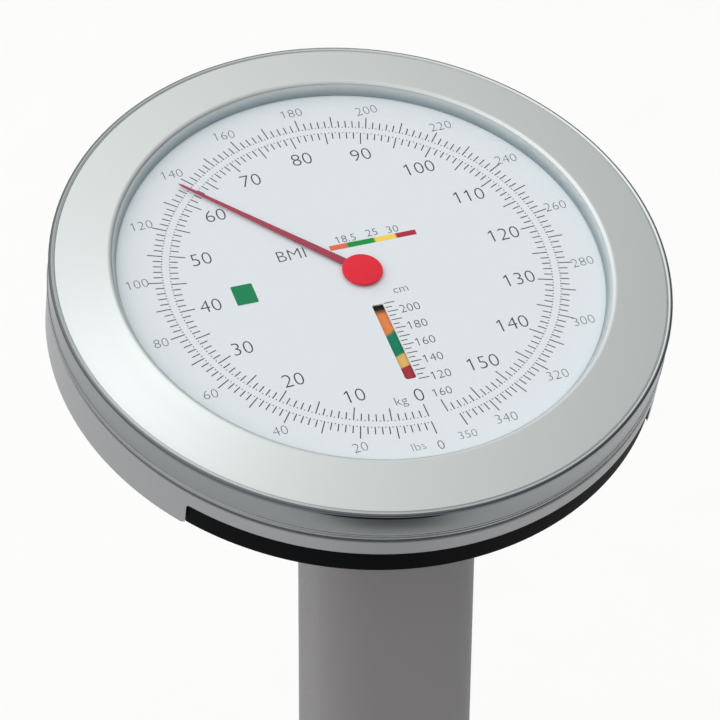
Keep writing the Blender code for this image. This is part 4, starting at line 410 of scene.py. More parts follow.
def printed_legend(colours):
    """Screen-printed bar: orange, green, yellow and red from left to right."""
    material, tree, shader = new_material("legend print", colours.good_zone, 0.6, Specular_IOR_Level=0.15)
    parts = add_node(tree, "ShaderNodeSeparateXYZ", {"Vector": on_head(tree)})
    ends = {"From Min": LEGEND_LEFT, "From Max": LEGEND_RIGHT}
    along = add_node(tree, "ShaderNodeMapRange", {"Value": parts.outputs["X"], **ends})
    edges = (-1.2 * MM, 12.2 * MM, 22.5 * MM)
    limits = [(edge - LEGEND_LEFT) / (LEGEND_RIGHT - LEGEND_LEFT) for edge in edges]
    shades = (colours.low_zone, colours.good_zone, colours.raised_zone, colours.high_zone)
    inputs = {"Fac": along.outputs["Result"]}
    zones = add_node(tree, "ShaderNodeValToRGB", inputs, zone_stops(limits, 0.012, shades))
    tree.links.new(zones.outputs["Color"], shader.inputs["Base Color"])
    return material


def printed_disc(colours):
    """Screen-printed disc. Its zones follow weight over height squared, by angle and radius."""
    material, tree, shader = new_material("disc print and painted shadow", colours.low_zone, 0.6, Specular_IOR_Level=0.15)
    # The printed turn starts and ends opposite this angle, so the seam lies at the ends of the scale.
    middle_turn = (FULL_SCALE / 2 - REST_READING) * KILOGRAM_TURN
    parts, radius = round_the_dial(tree, ZERO_ANGLE + middle_turn)
    angle = add_node(tree, "ShaderNodeMath", {0: parts["Y"], 1: parts["X"]}, operation="ARCTAN2")
    inputs = {0: angle.outputs["Value"], 1: 1 / KILOGRAM_TURN, 2: FULL_SCALE / 2}
    weight = add_node(tree, "ShaderNodeMath", inputs, operation="MULTIPLY_ADD").outputs["Value"]
    # Body heights in metres, from 1.2 to 2.1.
    place = HEIGHT_120_PLACE + DISC_PRINT_SHIFT
    ends = {"From Min": place, "From Max": place - 90 * CENTIMETRE_STEP, "To Min": 1.2, "To Max": 2.1}
    height = add_node(tree, "ShaderNodeMapRange", {"Value": radius, **ends}, clamp=False).outputs["Result"]
    squared = add_node(tree, "ShaderNodeMath", {0: height, 1: height}, operation="MULTIPLY")
    inputs = {0: weight, 1: squared.outputs["Value"]}
    index = add_node(tree, "ShaderNodeMath", inputs, operation="DIVIDE").outputs["Value"]
    low, high = 10.0, 50.0
    scaled = add_node(tree, "ShaderNodeMapRange", {"Value": index, "From Min": low, "From Max": high})
    limits = [(limit - low) / (high - low) for limit in (18.5, 25, 30)]
    shades = (colours.disc_low, colours.disc_good, colours.disc_raised, colours.disc_high)
    inputs = {"Fac": scaled.outputs["Result"]}
    zones = add_node(tree, "ShaderNodeValToRGB", inputs, zone_stops(limits, 0.008, shades))
    # The disc is painted black round its middle, where the slot ends, as a painted shadow at the slot's top.
    faded_tone(tree, shader, radius, 22.2, 25.5, colours.disc_middle, zones.outputs["Color"])
    return material


def printing_ink(name, base):
    """Screen-printing ink: matt, very slightly uneven."""
    return dressed(name, base, 0.6, 0.3, 0.002, mottle=0.04, Specular_IOR_Level=0.15)


def dark_grey_ink(colours):
    return printing_ink("dark grey ink", colours.kilogram_ink)


def pale_grey_ink(colours):
    return printing_ink("pale grey ink", colours.pound_ink)


def green_vinyl(colours):
    """Thin vinyl label stock in green, matt."""
    return dressed("green vinyl", colours.sticker, 0.5, 1.2, 0.01, Specular_IOR_Level=0.15)


def spacer_lacquer(colours):
    """Turned spacer ring in satin grey-green lacquer, with painted shade dark at the dial and a painted highlight
    where it meets the lip.
    """
    material, tree, shader = new_material("spacer lacquer with painted shading", colours.spacer, 0.38, Metallic=0.6)
    parts = add_node(tree, "ShaderNodeSeparateXYZ", {"Vector": on_head(tree)})
    # Painted shade at the dial, painted highlight up at the lip.
    tones = (colours.spacer, colours.spacer_top)
    faded_tone(tree, shader, parts.outputs["Z"], 0.5, 5.6, *tones, interpolation_type="SMOOTHSTEP")
    # Turning marks about 0.8 mm apart.
    low_relief(tree, shader, on_head(tree), 0.8, 0.005)
    return material


def signal_red_lacquer(colours):
    """Air-dried red lacquer on the brass hub, satin."""
    return dressed("signal red lacquer", colours.hub, 0.4, 0.8, 0.004, Specular_IOR_Level=0.25)


def red_pointer_lacquer(colours):
    """The same red on thin sheet, painted darker and duller as painted shade and reflection on the arm."""
    return dressed("shaded red pointer lacquer", colours.pointer, 0.45, 0.8, 0.004, Specular_IOR_Level=0.25)


def black_rubber(colours):
    """Moulded rubber: matt, with a dusty bloom and a fine stipple."""
    dusty = {"mottle": 0.18, "spread": 0.1, "Specular_IOR_Level": 0.35}
    return dressed("black rubber", colours.rubber, 0.75, 0.9, 0.05, **dusty)


def grey_column_paint(colours):
    """Powder paint on steel tube, with a light orange peel."""
    even = {"mottle": 0.03, "spread": 0.06, "Specular_IOR_Level": 0.25}
    return dressed("grey column paint", colours.column, 0.52, 1.6, 0.02, **even)


def grey_base_paint(colours):
    """Darker powder paint with a coarser texture, as on the cast and pressed base."""
    return dressed("grey base paint", colours.base, 0.5, 1.1, 0.05, mottle=0.06, spread=0.08)


def grey_abs_moulding(colours):
    """ABS moulding with a fine spark-eroded texture."""
    return dressed("grey ABS moulding", colours.moulding, 0.52, 0.7, 0.03, mottle=0.04, IOR=1.54)


def bright_zinc(_colours):
    """Bright zinc plate with a faint straw tone and soft cloudy gloss."""
    cloudy = {"mottle": 0.12, "spread": 0.1, "Metallic": 1.0}
    return dressed("bright zinc plate", linear("#C9C6BC"), 0.34, 2.2, 0.01, **cloudy)


def machined_brass(_colours):
    """Free-cutting brass, turned and milled."""
    return dressed("machined brass", linear("#C9A45C"), 0.3, 0.5, 0.008, mottle=0.08, Metallic=1.0)


def cast_aluminium(_colours):
    """Sand-cast aluminium: dull, with a grainy skin."""
    dull = {"mottle": 0.08, "spread": 0.1, "Metallic": 1.0}
    return dressed("cast aluminium", linear("#A9ABAD"), 0.52, 1.4, 0.08, **dull)


def painted_cast_iron(_colours):
    """Cast iron levers under thin grey primer, rough from the sand."""
    rough = {"mottle": 0.12, "spread": 0.12}
    return dressed("painted cast iron", linear("#4E5256"), 0.62, 2.0, 0.15, **rough)


def grey_wheel_nylon(_colours):
    """Moulded nylon: pale grey, slightly waxy."""
    return dressed("grey wheel nylon", linear("#8C8F90"), 0.4, 1.0, 0.01, IOR=1.53)


SLOT_FINISHES = {
    "satin_steel": satin_stainless_steel,
    "black_rubber": black_rubber,
    "cast_aluminium": cast_aluminium,
    "brass": machined_brass,
    "zinc_plated_steel": bright_zinc,
    "painted_cast_iron": painted_cast_iron,
    "grey_painted_steel": grey_metallic_lacquer,
    "grey_base_paint": grey_base_paint,
    "grey_column_paint": grey_column_paint,
    "grey_moulding": grey_abs_moulding,
    "grey_spacer": spacer_lacquer,
    "grey_wheel_plastic": grey_wheel_nylon,
    "black_plastic": gloss_black_abs,
    "red_pointer": signal_red_lacquer,
    "white_dial": blue_white_enamel,
    "clear_glass": float_glass,
    "coloured_disc": printed_disc,
}
MADE_FINISHES = {}


def finished(make):
    """A finish's material, made at its first use."""
    if make not in MADE_FINISHES:
        MADE_FINISHES[make] = make(bpy.context.scene.scale_colours)
    return MADE_FINISHES[make]


def tidied(made):
    bmesh.ops.remove_doubles(made, verts=made.verts, dist=SAME_PLACE)
    bmesh.ops.recalc_face_normals(made, faces=made.faces)
    return made


def spun(profile, steps=RING_STEPS):
    """A (radius, height) outline spun round Z. Points on the axis close it as a solid."""
    made = bmesh.new()
    points = [made.verts.new((radius, 0, height)) for radius, height in profile]
    pairs = list(zip(points, points[1:]))
    if profile[0][0] > 0 or profile[-1][0] > 0:
        pairs.append((points[-1], points[0]))
    bmesh.ops.spin(
        made,
        geom=points + [made.edges.new(pair) for pair in pairs],
        cent=(0, 0, 0),
        axis=(0, 0, 1),
        angle=TURN,
        steps=steps,
        use_merge=True,
    )
    return tidied(made)


def polar(radius, angle):
    """A point at a distance and an angle from the middle."""
    return radius * cos(angle), radius * sin(angle)


def arc(centre, radius, start, end, steps=5):
    """Points of an arc in (radius, height), between angles in degrees."""
    angles = [radians(start + (end - start) * step / steps) for step in range(steps + 1)]
    return [(centre[0] + radius * cos(angle), centre[1] + radius * sin(angle)) for angle in angles]


def raised(made, rise):
    """A flat shape raised along Z into a solid."""
    grown = bmesh.ops.extrude_face_region(made, geom=made.faces[:])["geom"]
    verts = [item for item in grown if isinstance(item, bmesh.types.BMVert)]
    bmesh.ops.translate(made, vec=(0, 0, rise), verts=verts)
    return tidied(made)


def slab(outline, bottom, top):
    """An (x, y) outline raised along Z."""
    made = bmesh.new()
    made.faces.new([made.verts.new((x, y, bottom)) for x, y in outline])
    return raised(made, top - bottom)


def block(low, high):
    """A box between two corners."""
    low, high = Vector(low), Vector(high)
    made = bmesh.new()
    where = Matrix.Translation((low + high) / 2) @ Matrix.Diagonal((*(high - low), 1))
    bmesh.ops.create_cube(made, size=1, matrix=where)
    return made


def bevelled(made, edges, width, segments=3):
    bmesh.ops.bevel(
        made,
        geom=edges,
        offset=width,
        offset_type="OFFSET",
        segments=segments,
        profile=0.5,
        affect="EDGES",
        material=-1,
        clamp_overlap=True,
    )
    return made


def sharp_edges(made, angle=35):
    return [edge for edge in made.edges if edge.is_manifold and edge.calc_face_angle(0) > radians(angle)]


def edges_at(made, height, axis=2):
    """The edges that lie at a height, or at a place on another axis."""
    return [
        edge for edge in made.edges if all(abs(v.co[axis] - height) < SAME_PLACE for v in edge.verts)
    ]


def rounded_block(low, high, corner, back_corner=None, edge=0.0, bottom_edge=0.0):
    """A box with round upright corners, and optional rounds along its top and bottom."""
    made = block(low, high)
    middle = (low[1] + high[1]) / 2
    for radius, is_back in ((corner, False), (corner if back_corner is None else back_corner, True)):
        uprights = [
            item
            for item in made.edges
            if abs(item.verts[0].co.z - item.verts[1].co.z) > SAME_PLACE
            and (item.verts[0].co.y > middle) == is_back
        ]
        bevelled(made, uprights, radius, 10)
    for width, height in ((edge, high[2]), (bottom_edge, low[2])):
        if width:
            bevelled(made, edges_at(made, height), width, 4)
    return made


def oval_place(angle, half_width, half_depth, squareness):
    """A point of a superellipse, between an ellipse (1) and a box (0)."""
    across = copysign(abs(cos(angle)) ** squareness, cos(angle))
    along = copysign(abs(sin(angle)) ** squareness, sin(angle))
    return across * half_width, along * half_depth


def lofted(levels, segments=96):
    """A closed skin over oval levels (height, middle y, half width, half depth, squareness)."""
    made = bmesh.new()
    turn = made.verts.layers.float.new("turn")
    ring = bmesh.ops.create_circle(made, segments=segments, radius=1)["verts"]
    for vert in ring:
        vert[turn] = atan2(vert.co.y, vert.co.x)
    edges = made.edges[:]
    for number, (height, middle, *oval) in enumerate(levels + levels[:1]):
        if number:
            grown = bmesh.ops.extrude_edge_only(made, edges=edges)["geom"]
            ring = [item for item in grown if isinstance(item, bmesh.types.BMVert)]
            sides = [item for item in grown if isinstance(item, bmesh.types.BMEdge)]
            edges = [edge for edge in sides if set(ring).issuperset(edge.verts)]
        for vert in ring:
            x, y = oval_place(vert[turn], *oval)
            vert.co = (x, middle + y, height)
    return tidied(made)


def oval_prism(half_width, half_depth, bottom, top):
    """An upright oval bar with the column's outline."""
    made = bmesh.new()
    bmesh.ops.create_circle(made, segments=128, radius=1, cap_ends=True)
    for vert in made.verts:
        angle = atan2(vert.co.y, vert.co.x)
        vert.co = (*oval_place(angle, half_width, half_depth, COLUMN_SQUARENESS), bottom)
    return raised(made, top - bottom)


def joined(*shapes):
    """Several shapes as one mesh."""
    whole = bmesh.new()
    for shape in shapes:
        mesh = bpy.data.meshes.new("shape")
        shape.to_mesh(mesh)
        shape.free()
        whole.from_mesh(mesh)
        bpy.data.meshes.remove(mesh)
    return whole


def moved(made, matrix):
    bmesh.ops.transform(made, matrix=matrix, verts=made.verts)
    return made


def mesh_object(name, made):
    """A shape as an object of the scene."""
    mesh = bpy.data.meshes.new(name)
    made.to_mesh(mesh)
    made.free()
    item = bpy.data.objects.new(name, mesh)
    bpy.context.collection.objects.link(item)
    return item


def carved(made, tool, operation="DIFFERENCE"):
    """The first shape with the second cut from it, added to it or kept as their common part."""
    body = mesh_object("helper", made)
    cutter = mesh_object("helper", tool)
    modifier = body.modifiers.new("carve", "BOOLEAN")
    modifier.object = cutter
    modifier.operation = operation
    modifier.solver = "EXACT"
    bpy.context.view_layer.update()
    graph = bpy.context.evaluated_depsgraph_get()
    mesh = bpy.data.meshes.new_from_object(body.evaluated_get(graph))
    if not mesh.polygons:
        raise RuntimeError("a carved shape came out empty")
    result = bmesh.new()
    result.from_mesh(mesh)
    old = [body.data, cutter.data, mesh]
    bpy.data.objects.remove(body)
    bpy.data.objects.remove(cutter)
    for item in old:
        bpy.data.meshes.remove(item)
    return result


def piece(name, made, slot=None, node=None, place=None, body="frame", finish=None, sharp=35):
    """A finished piece with its place in its mesh. It rides on a body, and may stand for a node."""
    if place is not None:
        moved(made, place)
    for face in made.faces:
        face.smooth = True
    for edge in sharp_edges(made, sharp):
        edge.smooth = False
    item = mesh_object(name, made)
    if not item.data.polygons:
        raise RuntimeError(f"{name} came out empty")
    item.data.materials.append(finished(finish or SLOT_FINISHES[slot]))
    if body:
        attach(item, body)
    if node:
        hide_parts(node)
    return item


class SCALE_OT_mechanism(bpy.types.Operator):
    """Gives every solid of the mechanism the finish of its material slot"""

    bl_idname = "column_scale.mechanism"
    bl_label = "Mechanism finishes"

    def execute(self, context):
        for part in frame["record"]["subparts"]:
            node = frame["nodes"][part["node"]]
            if not node.material_slots:
                raise RuntimeError(f"{part['node']} has no material slot")
            for place in node.material_slots:
                place.material = finished(SLOT_FINISHES[part["material_slot"]])
        return {"FINISHED"}


class SCALE_OT_spring(bpy.types.Operator):
    """Winds the measuring spring, which stretches between its anchor and the draw rod"""

    bl_idname = "column_scale.spring"
    bl_label = "Measuring spring"

    def execute(self, context):
        stand = context.scene.scale_stand
        low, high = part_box("load_spring")
        x, y, _ = (low + high) / 2
        wire = stand.spring_wire
        radius = (high.x - low.x - wire) / 2
        closed_rise = wire + GAP
        open_rise = high.z - low.z - wire - 2 * closed_rise
        made = bmesh.new()
        bmesh.ops.create_circle(made, segments=12, radius=wire / 2)
        moved(made, Matrix.Translation((radius, 0, 0)) @ Matrix.Rotation(pi / 2, 4, "X"))
        end = made.verts[:] + made.edges[:]
        for turns, rise in ((1, closed_rise), (stand.spring_turns - 2, open_rise), (1, closed_rise)):
            steps = 40 * turns
            end = bmesh.ops.spin(
                made,
                geom=end,
                cent=(0, 0, 0),
                axis=(0, 0, 1),
                dvec=(0, 0, rise / steps),
                angle=TURN * turns,
                steps=steps,
            )["geom_last"]
        bmesh.ops.holes_fill(made, edges=[edge for edge in made.edges if edge.is_boundary])
        bmesh.ops.recalc_face_normals(made, faces=made.faces)
        foot = Matrix.Translation((x, y, low.z + wire / 2))
        spring = piece("measuring_spring", made, "zinc_plated_steel", "load_spring", foot, body=None)
        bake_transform(spring)
        return {"FINISHED"}


def face_height(sizes, radius):
    """Height of the bezel's sloping face."""
    fall = (sizes.crest_height - sizes.face_edge_height) / (sizes.face_edge_radius - sizes.crest_radius)
    return sizes.crest_height - (radius - sizes.crest_radius) * fall


class SCALE_OT_bezel(bpy.types.Operator):
    """Builds the stainless bezel ring with its crest, polished outer line, side and rolled bead"""

    bl_idname = "column_scale.bezel"
    bl_label = "Bezel"

    def execute(self, context):
        sizes = context.scene.scale_head
        outer = sizes.head_radius
        edge = sizes.face_edge_radius
        crest = (sizes.crest_radius, sizes.crest_height - sizes.crest_round)
        lip = sizes.crest_radius - sizes.crest_round
        inset = 0.1 * MM
        groove = 0.25 * MM
        wall = outer - 0.4 * MM
        waist = outer - 0.9 * MM
        roll = 1.2 * MM
        roll_centre = (outer - roll - inset, sizes.face_edge_height - roll + 0.3 * MM)
        bead = 0.7 * MM
        bead_centre = (outer - bead, -sizes.side_depth + bead)
        foot_bead = 1.0 * MM
        foot_centre = (outer - foot_bead - inset, bead_centre[1] - bead - groove - foot_bead)
        inner_wall = waist - sizes.sheet
        under = 4.3 * MM
        # The face is a straight cone that meets both rolls smoothly.
        profile = [
            *arc(crest, sizes.crest_round, 140, 80, 8),
            (edge - 2 * groove, face_height(sizes, edge - 2 * groove)),
            (edge - groove, face_height(sizes, edge) - 2 * groove),
            *arc(roll_centre, roll, 170, 0, 12),
            (wall, roll_centre[1] - 0.7 * MM),
            (wall, bead_centre[1] + bead + groove),
            *arc(bead_centre, bead, 60, -75, 7),
            (waist, bead_centre[1] - bead),
            (waist, foot_centre[1] + foot_bead),
            *arc(foot_centre, foot_bead, 65, -65, 6),
            (waist, -sizes.foot_depth),
            (inner_wall, -sizes.foot_depth),
            (inner_wall, face_height(sizes, inner_wall) - sizes.sheet),
            (sizes.crest_radius + 4.2 * MM, under),
            (lip + 0.65 * MM, under + 1.52 * MM),
        ]
        piece("bezel", spun(profile), "satin_steel", "bezel_ring", HEAD, sharp=50)
        return {"FINISHED"}


class SCALE_OT_glass(bpy.types.Operator):
    """Builds the dial glass and the spacer ring under it"""

    bl_idname = "column_scale.glass"
    bl_label = "Glass and spacer"

    def execute(self, context):
        sizes = context.scene.scale_head
        lip = sizes.crest_radius - sizes.crest_round
        radius = lip - 0.9 * MM
        bottom = 2.2 * MM
        top = bottom + 2 * MM
        pane = spun([(0, bottom), (radius, bottom), (radius, top), (0, top)], 128)
        piece("dial_pane", pane, "clear_glass", "dial_glass", HEAD)
        outer = sizes.crest_radius + 4.2 * MM
        foot = 0.5 * MM
        spacer = [
            (lip - 1.5 * MM, foot),
            (lip - 1.3 * MM, 1.5 * MM),
            (lip, top),
            (lip + 0.2 * MM, top + 0.9 * MM),
            (lip + 0.57 * MM, top + 1.55 * MM),
            (outer, top),
            (outer, foot),
        ]
        piece("spacer", spun(spacer), "grey_spacer", "spacer_ring", HEAD)
        return {"FINISHED"}


class SCALE_OT_dial(bpy.types.Operator):
    """Builds the dial sheet with its arbor hole and slot"""

    bl_idname = "column_scale.dial"
    bl_label = "Dial sheet"

    def execute(self, context):
        thickness = 0.8 * MM
        outer = context.scene.scale_head.crest_radius + 4.1 * MM
        hole = 2.6 * MM
        sheet = spun([(hole, -thickness), (outer, -thickness), (outer, 0), (hole, 0)])
        half = SLOT_WIDTH / 2
        deep = 2 * thickness
        slot = rounded_block((-half, -SLOT_FAR, -deep), (half, -SLOT_NEAR, deep), 1.4 * MM, 0.5 * MM)
        piece("dial_sheet", carved(sheet, slot), "white_dial", "dial_face", HEAD)
        return {"FINISHED"}


def add_mark(made, x, y, width, height, turn=0.0):
    """A printed rectangle, as a thin slab on the dial."""
    size = Matrix.Diagonal((width, height, 2 * PRINT_HEIGHT, 1))
    where = Matrix.Rotation(turn, 4, "Z") @ Matrix.Translation((x, y, 0)) @ size
    bmesh.ops.create_cube(made, size=1, matrix=where)


def mark_ring(offsets, group, groups, unit_turn, inner, outer, width):
    """The same marks in every group, copied clockwise from the zero mark. Offsets and groups count units."""
    made = bmesh.new()
    for offset in offsets:
        add_mark(made, (inner + outer) / 2, 0, outer - inner, width, ZERO_ANGLE - offset * unit_turn)
    bmesh.ops.spin(
        made,
        geom=made.verts[:] + made.edges[:] + made.faces[:],
        cent=(0, 0, 0),
        axis=(0, 0, 1),
        angle=-group * unit_turn * (groups - 1),
        steps=groups - 1,
        use_duplicate=True,
    )
    return made


class SCALE_OT_ticks(bpy.types.Operator):
    """Prints the ticks and dots of the kilogram and pound circles"""

    bl_idname = "column_scale.ticks"
    bl_label = "Weight ticks"

    def execute(self, context):
        sizes = context.scene.scale_print
        width = sizes.tick_width
        dot = sizes.dot_width
        outer = sizes.kilogram_outer
        inner = sizes.pound_inner
        kilograms = joined(
            mark_ring((0,), 5, 33, KILOGRAM_TURN, sizes.kilogram_long, outer, width),
            mark_ring((1, 2, 3, 4), 5, 32, KILOGRAM_TURN, sizes.kilogram_short, outer, width),
            mark_ring((0.5, 1.5, 2.5, 3.5, 4.5), 5, 32, KILOGRAM_TURN, outer - dot, outer, dot),
        )
        pounds = joined(
            mark_ring((0,), 10, 36, POUND_TURN, inner, sizes.pound_long, width),
            mark_ring((2, 4, 6, 8), 10, 35, POUND_TURN, inner, sizes.pound_short, width),
            mark_ring((1, 3, 5, 7, 9), 10, 35, POUND_TURN, inner, inner + dot, dot),
        )
        piece("kilogram_ticks", tidied(kilograms), place=HEAD, finish=dark_grey_ink)
        piece("pound_ticks", tidied(pounds), place=HEAD, finish=dark_grey_ink)
        return {"FINISHED"}


def typeset(words, thinning):
    """Words as a mesh at size 1 in the default font, thinned, with their left, right, low and high ends."""
    curve = bpy.data.curves.new("lettering", "FONT")
    curve.body = words
    curve.size = 1
    curve.offset = -thinning
    curve.resolution_u = 3
    curve.extrude = 0.5
    item = bpy.data.objects.new("lettering", curve)
    mesh = bpy.data.meshes.new_from_object(item)
    bpy.data.objects.remove(item)
    bpy.data.curves.remove(curve)
    xs, ys, _ = zip(*(vert.co for vert in mesh.vertices))
    return mesh, (min(xs), max(xs), min(ys), max(ys))


def lettering(made, words, x, y, height, thinning=0.018):
    """Adds words as thin slabs on the dial, centred on a point. Height is a digit's."""
    digit, (_, _, low, high) = typeset("0", thinning)
    scale = height / (high - low)
    mesh, (left, right, low, high) = typeset(words, thinning)
    if words[0] == "1":
        left = min(left, FLAG_LEFT)
    where = (
        Matrix.Translation((x, y, 0))
        @ Matrix.Diagonal((scale, scale, 2 * PRINT_HEIGHT, 1))
        @ Matrix.Translation((-(left + right) / 2, -(low + high) / 2, 0))
    )
    mesh.transform(where)
    made.from_mesh(mesh)
    bpy.data.meshes.remove(digit)
    bpy.data.meshes.remove(mesh)
    # The font's figure one is a bare stem, so it gets the slanted flag of the printed one.
    for place, letter in enumerate(words):
        if letter == "1":
            flag = (
                Matrix.Translation(FLAG_MIDDLE + Vector((place * FIGURE_PITCH, 0, 0)))
                @ Matrix.Rotation(FLAG_SLANT, 4, "Z")
                @ Matrix.Diagonal((FLAG_LENGTH, FLAG_WIDTH - 3 * thinning, FLAG_DEPTH, 1))
            )
            bmesh.ops.create_cube(made, size=1, matrix=where @ flag)


class SCALE_OT_numerals(bpy.types.Operator):
    """Prints the numerals and units of both weight circles"""

    bl_idname = "column_scale.numerals"
    bl_label = "Weight numerals"

    def execute(self, context):
        sizes = context.scene.scale_print
        kilograms = bmesh.new()
        for weight in range(10, 160, 10):
            angle = ZERO_ANGLE - weight * KILOGRAM_TURN
            # Numerals at the sides stand a little further in, clear of the ticks, and wide ones most.
            inset = (1.8 if weight > 99 else 0.5) * MM
            radius = sizes.kilogram_numerals - inset * cos(angle) ** 2
            lettering(kilograms, str(weight), *polar(radius, angle), sizes.kilogram_height)
        low = -74.8 * MM
        lettering(kilograms, "0", 0, low, sizes.kilogram_height)
        lettering(kilograms, "160", 10.8 * MM, low - 0.8 * MM, 4.2 * MM)
        lettering(kilograms, "kg", -8.9 * MM, low - 1.9 * MM, 4.6 * MM)
        thin = 0.024
        pounds = bmesh.new()
        for weight in range(20, 350, 20):
            angle = ZERO_ANGLE - weight * POUND_TURN
            place = polar(sizes.pound_numerals, angle)
            lettering(pounds, str(weight), *place, sizes.pound_height, thin)
        low = -104 * MM
        lettering(pounds, "0", -0.4 * MM, low, sizes.pound_height)
        lettering(pounds, "350", 13.2 * MM, low + 2.6 * MM, 4.0 * MM, thin)
        lettering(pounds, "lbs", -10.3 * MM, low + 1.7 * MM, 4.2 * MM, thin)
        piece("kilogram_numerals", tidied(kilograms), place=HEAD, finish=dark_grey_ink)
        piece("pound_numerals", tidied(pounds), place=HEAD, finish=pale_grey_ink)
        return {"FINISHED"}


class SCALE_OT_height_scale(bpy.types.Operator):
    """Prints the height scale beside the slot"""

    bl_idname = "column_scale.height_scale"
    bl_label = "Height scale"

    def execute(self, context):
        made = bmesh.new()
        start = SLOT_WIDTH / 2 + 0.5 * MM
        width = 0.9 * context.scene.scale_print.tick_width
        for centimetres in range(120, 211, 5):
            reach = (3.0 if centimetres % 10 else 5.0) * MM
            place = -HEIGHT_120_PLACE + (centimetres - 120) * CENTIMETRE_STEP
            add_mark(made, start + reach / 2, place, reach, width)
            if centimetres % 20 == 0:
                lettering(made, str(centimetres), 13.8 * MM, place, 4.4 * MM)
        lettering(made, "cm", 13.4 * MM, -14.5 * MM, 4.2 * MM)
        piece("height_scale", tidied(made), place=HEAD, finish=dark_grey_ink)
        return {"FINISHED"}


class SCALE_OT_legend(bpy.types.Operator):
    """Prints the body-mass legend, and the bare green square"""

    bl_idname = "column_scale.legend"
    bl_label = "Legend"

    def execute(self, context):
        bar = bmesh.new()
        middle = (LEGEND_LEFT + LEGEND_RIGHT) / 2
        add_mark(bar, middle, 17.1 * MM, LEGEND_RIGHT - LEGEND_LEFT, 2.9 * MM)
        piece("legend_bar", bar, place=HEAD, finish=printed_legend)
        words = bmesh.new()
        for text, x, y, height in (
            ("18.5", -0.5, 21.2, 4.0),
            ("25", 12.3, 21.8, 4.0),
            ("30", 22.4, 21.4, 4.0),
            ("BMI", -28.0, 18.0, 6.2),
        ):
            lettering(words, text, x * MM, y * MM, height * MM)
        piece("legend_words", tidied(words), place=HEAD, finish=dark_grey_ink)
        low, high = Vector((-61.1, -5.2, -0.02)) * MM, Vector((-51.1, 6.2, 0.12)) * MM
        piece("green_square", rounded_block(low, high, 0.6 * MM), place=HEAD, finish=green_vinyl)
        return {"FINISHED"}


class SCALE_OT_disc(bpy.types.Operator):
    """Builds the coloured disc that turns behind the slot"""

    bl_idname = "column_scale.disc"
    bl_label = "Coloured disc"

    def execute(self, context):
        bottom, top = -2.1 * MM, -1.6 * MM
        hole, rim = 1.8 * MM, 72 * MM
        disc = spun([(hole, bottom), (rim, bottom), (rim, top), (hole, top)], 128)
        piece("coloured_disc", disc, "coloured_disc", "bmi_disc", HEAD, "pointer")
        return {"FINISHED"}


class SCALE_OT_pointer(bpy.types.Operator):
    """Builds the red pointer: a thin tapered arm under a round hub"""

    bl_idname = "column_scale.pointer"
    bl_label = "Pointer"

    def execute(self, context):
        sizes = context.scene.scale_pointer
        half = sizes.root_width / 2
        tip = sizes.tip_width / 2
        shoulder = sizes.reach - 2.5 * MM
        bottom = sizes.lift + 0.25 * MM
        outline = [(0, -half), (shoulder, -tip), (sizes.reach, 0), (shoulder, tip), (0, half)]
        arm = slab(outline, bottom, bottom + 0.5 * MM)
        bevelled(arm, sharp_edges(arm), 0.1 * MM, 2)
        place = HEAD @ Matrix.Rotation(ZERO_ANGLE - REST_READING * KILOGRAM_TURN, 4, "Z")
        piece("pointer_arm", arm, "red_pointer", "pointer", place, "pointer", red_pointer_lacquer)
        radius = sizes.hub_radius
        rounding = 0.35 * MM
        top = sizes.lift + 1.1 * MM
        profile = [
            (0, sizes.lift),
            (radius - rounding, sizes.lift),
            (radius, sizes.lift + rounding),
            *arc((radius - rounding, top - rounding), rounding, 0, 90, 4),
            (0, top),
        ]
        piece("pointer_hub", spun(profile, 96), "red_pointer", "pointer", HEAD, "pointer")
        return {"FINISHED"}


def arch(sizes, inset):
    """The cut-out's shape as a block through the band's front: round upper corners, open below."""
    half = sizes.head_radius * sin(sizes.cutout_angle) - inset
    top = -sizes.cutout_depth - inset
    made = block((-half, -2 * sizes.head_radius, -3 * sizes.housing_depth), (half, 0, top))
    upper = [
        edge
        for edge in edges_at(made, top)
        if abs(edge.verts[0].co.x - edge.verts[1].co.x) < SAME_PLACE
    ]
    # The band turns away at the sides, so the round is drawn narrower across than it is high.
    widen = Matrix.Diagonal((1 / cos(sizes.cutout_angle), 1, 1, 1))
    bevelled(moved(made, widen), upper, sizes.cutout_corner, 8)
    return moved(made, widen.inverted())


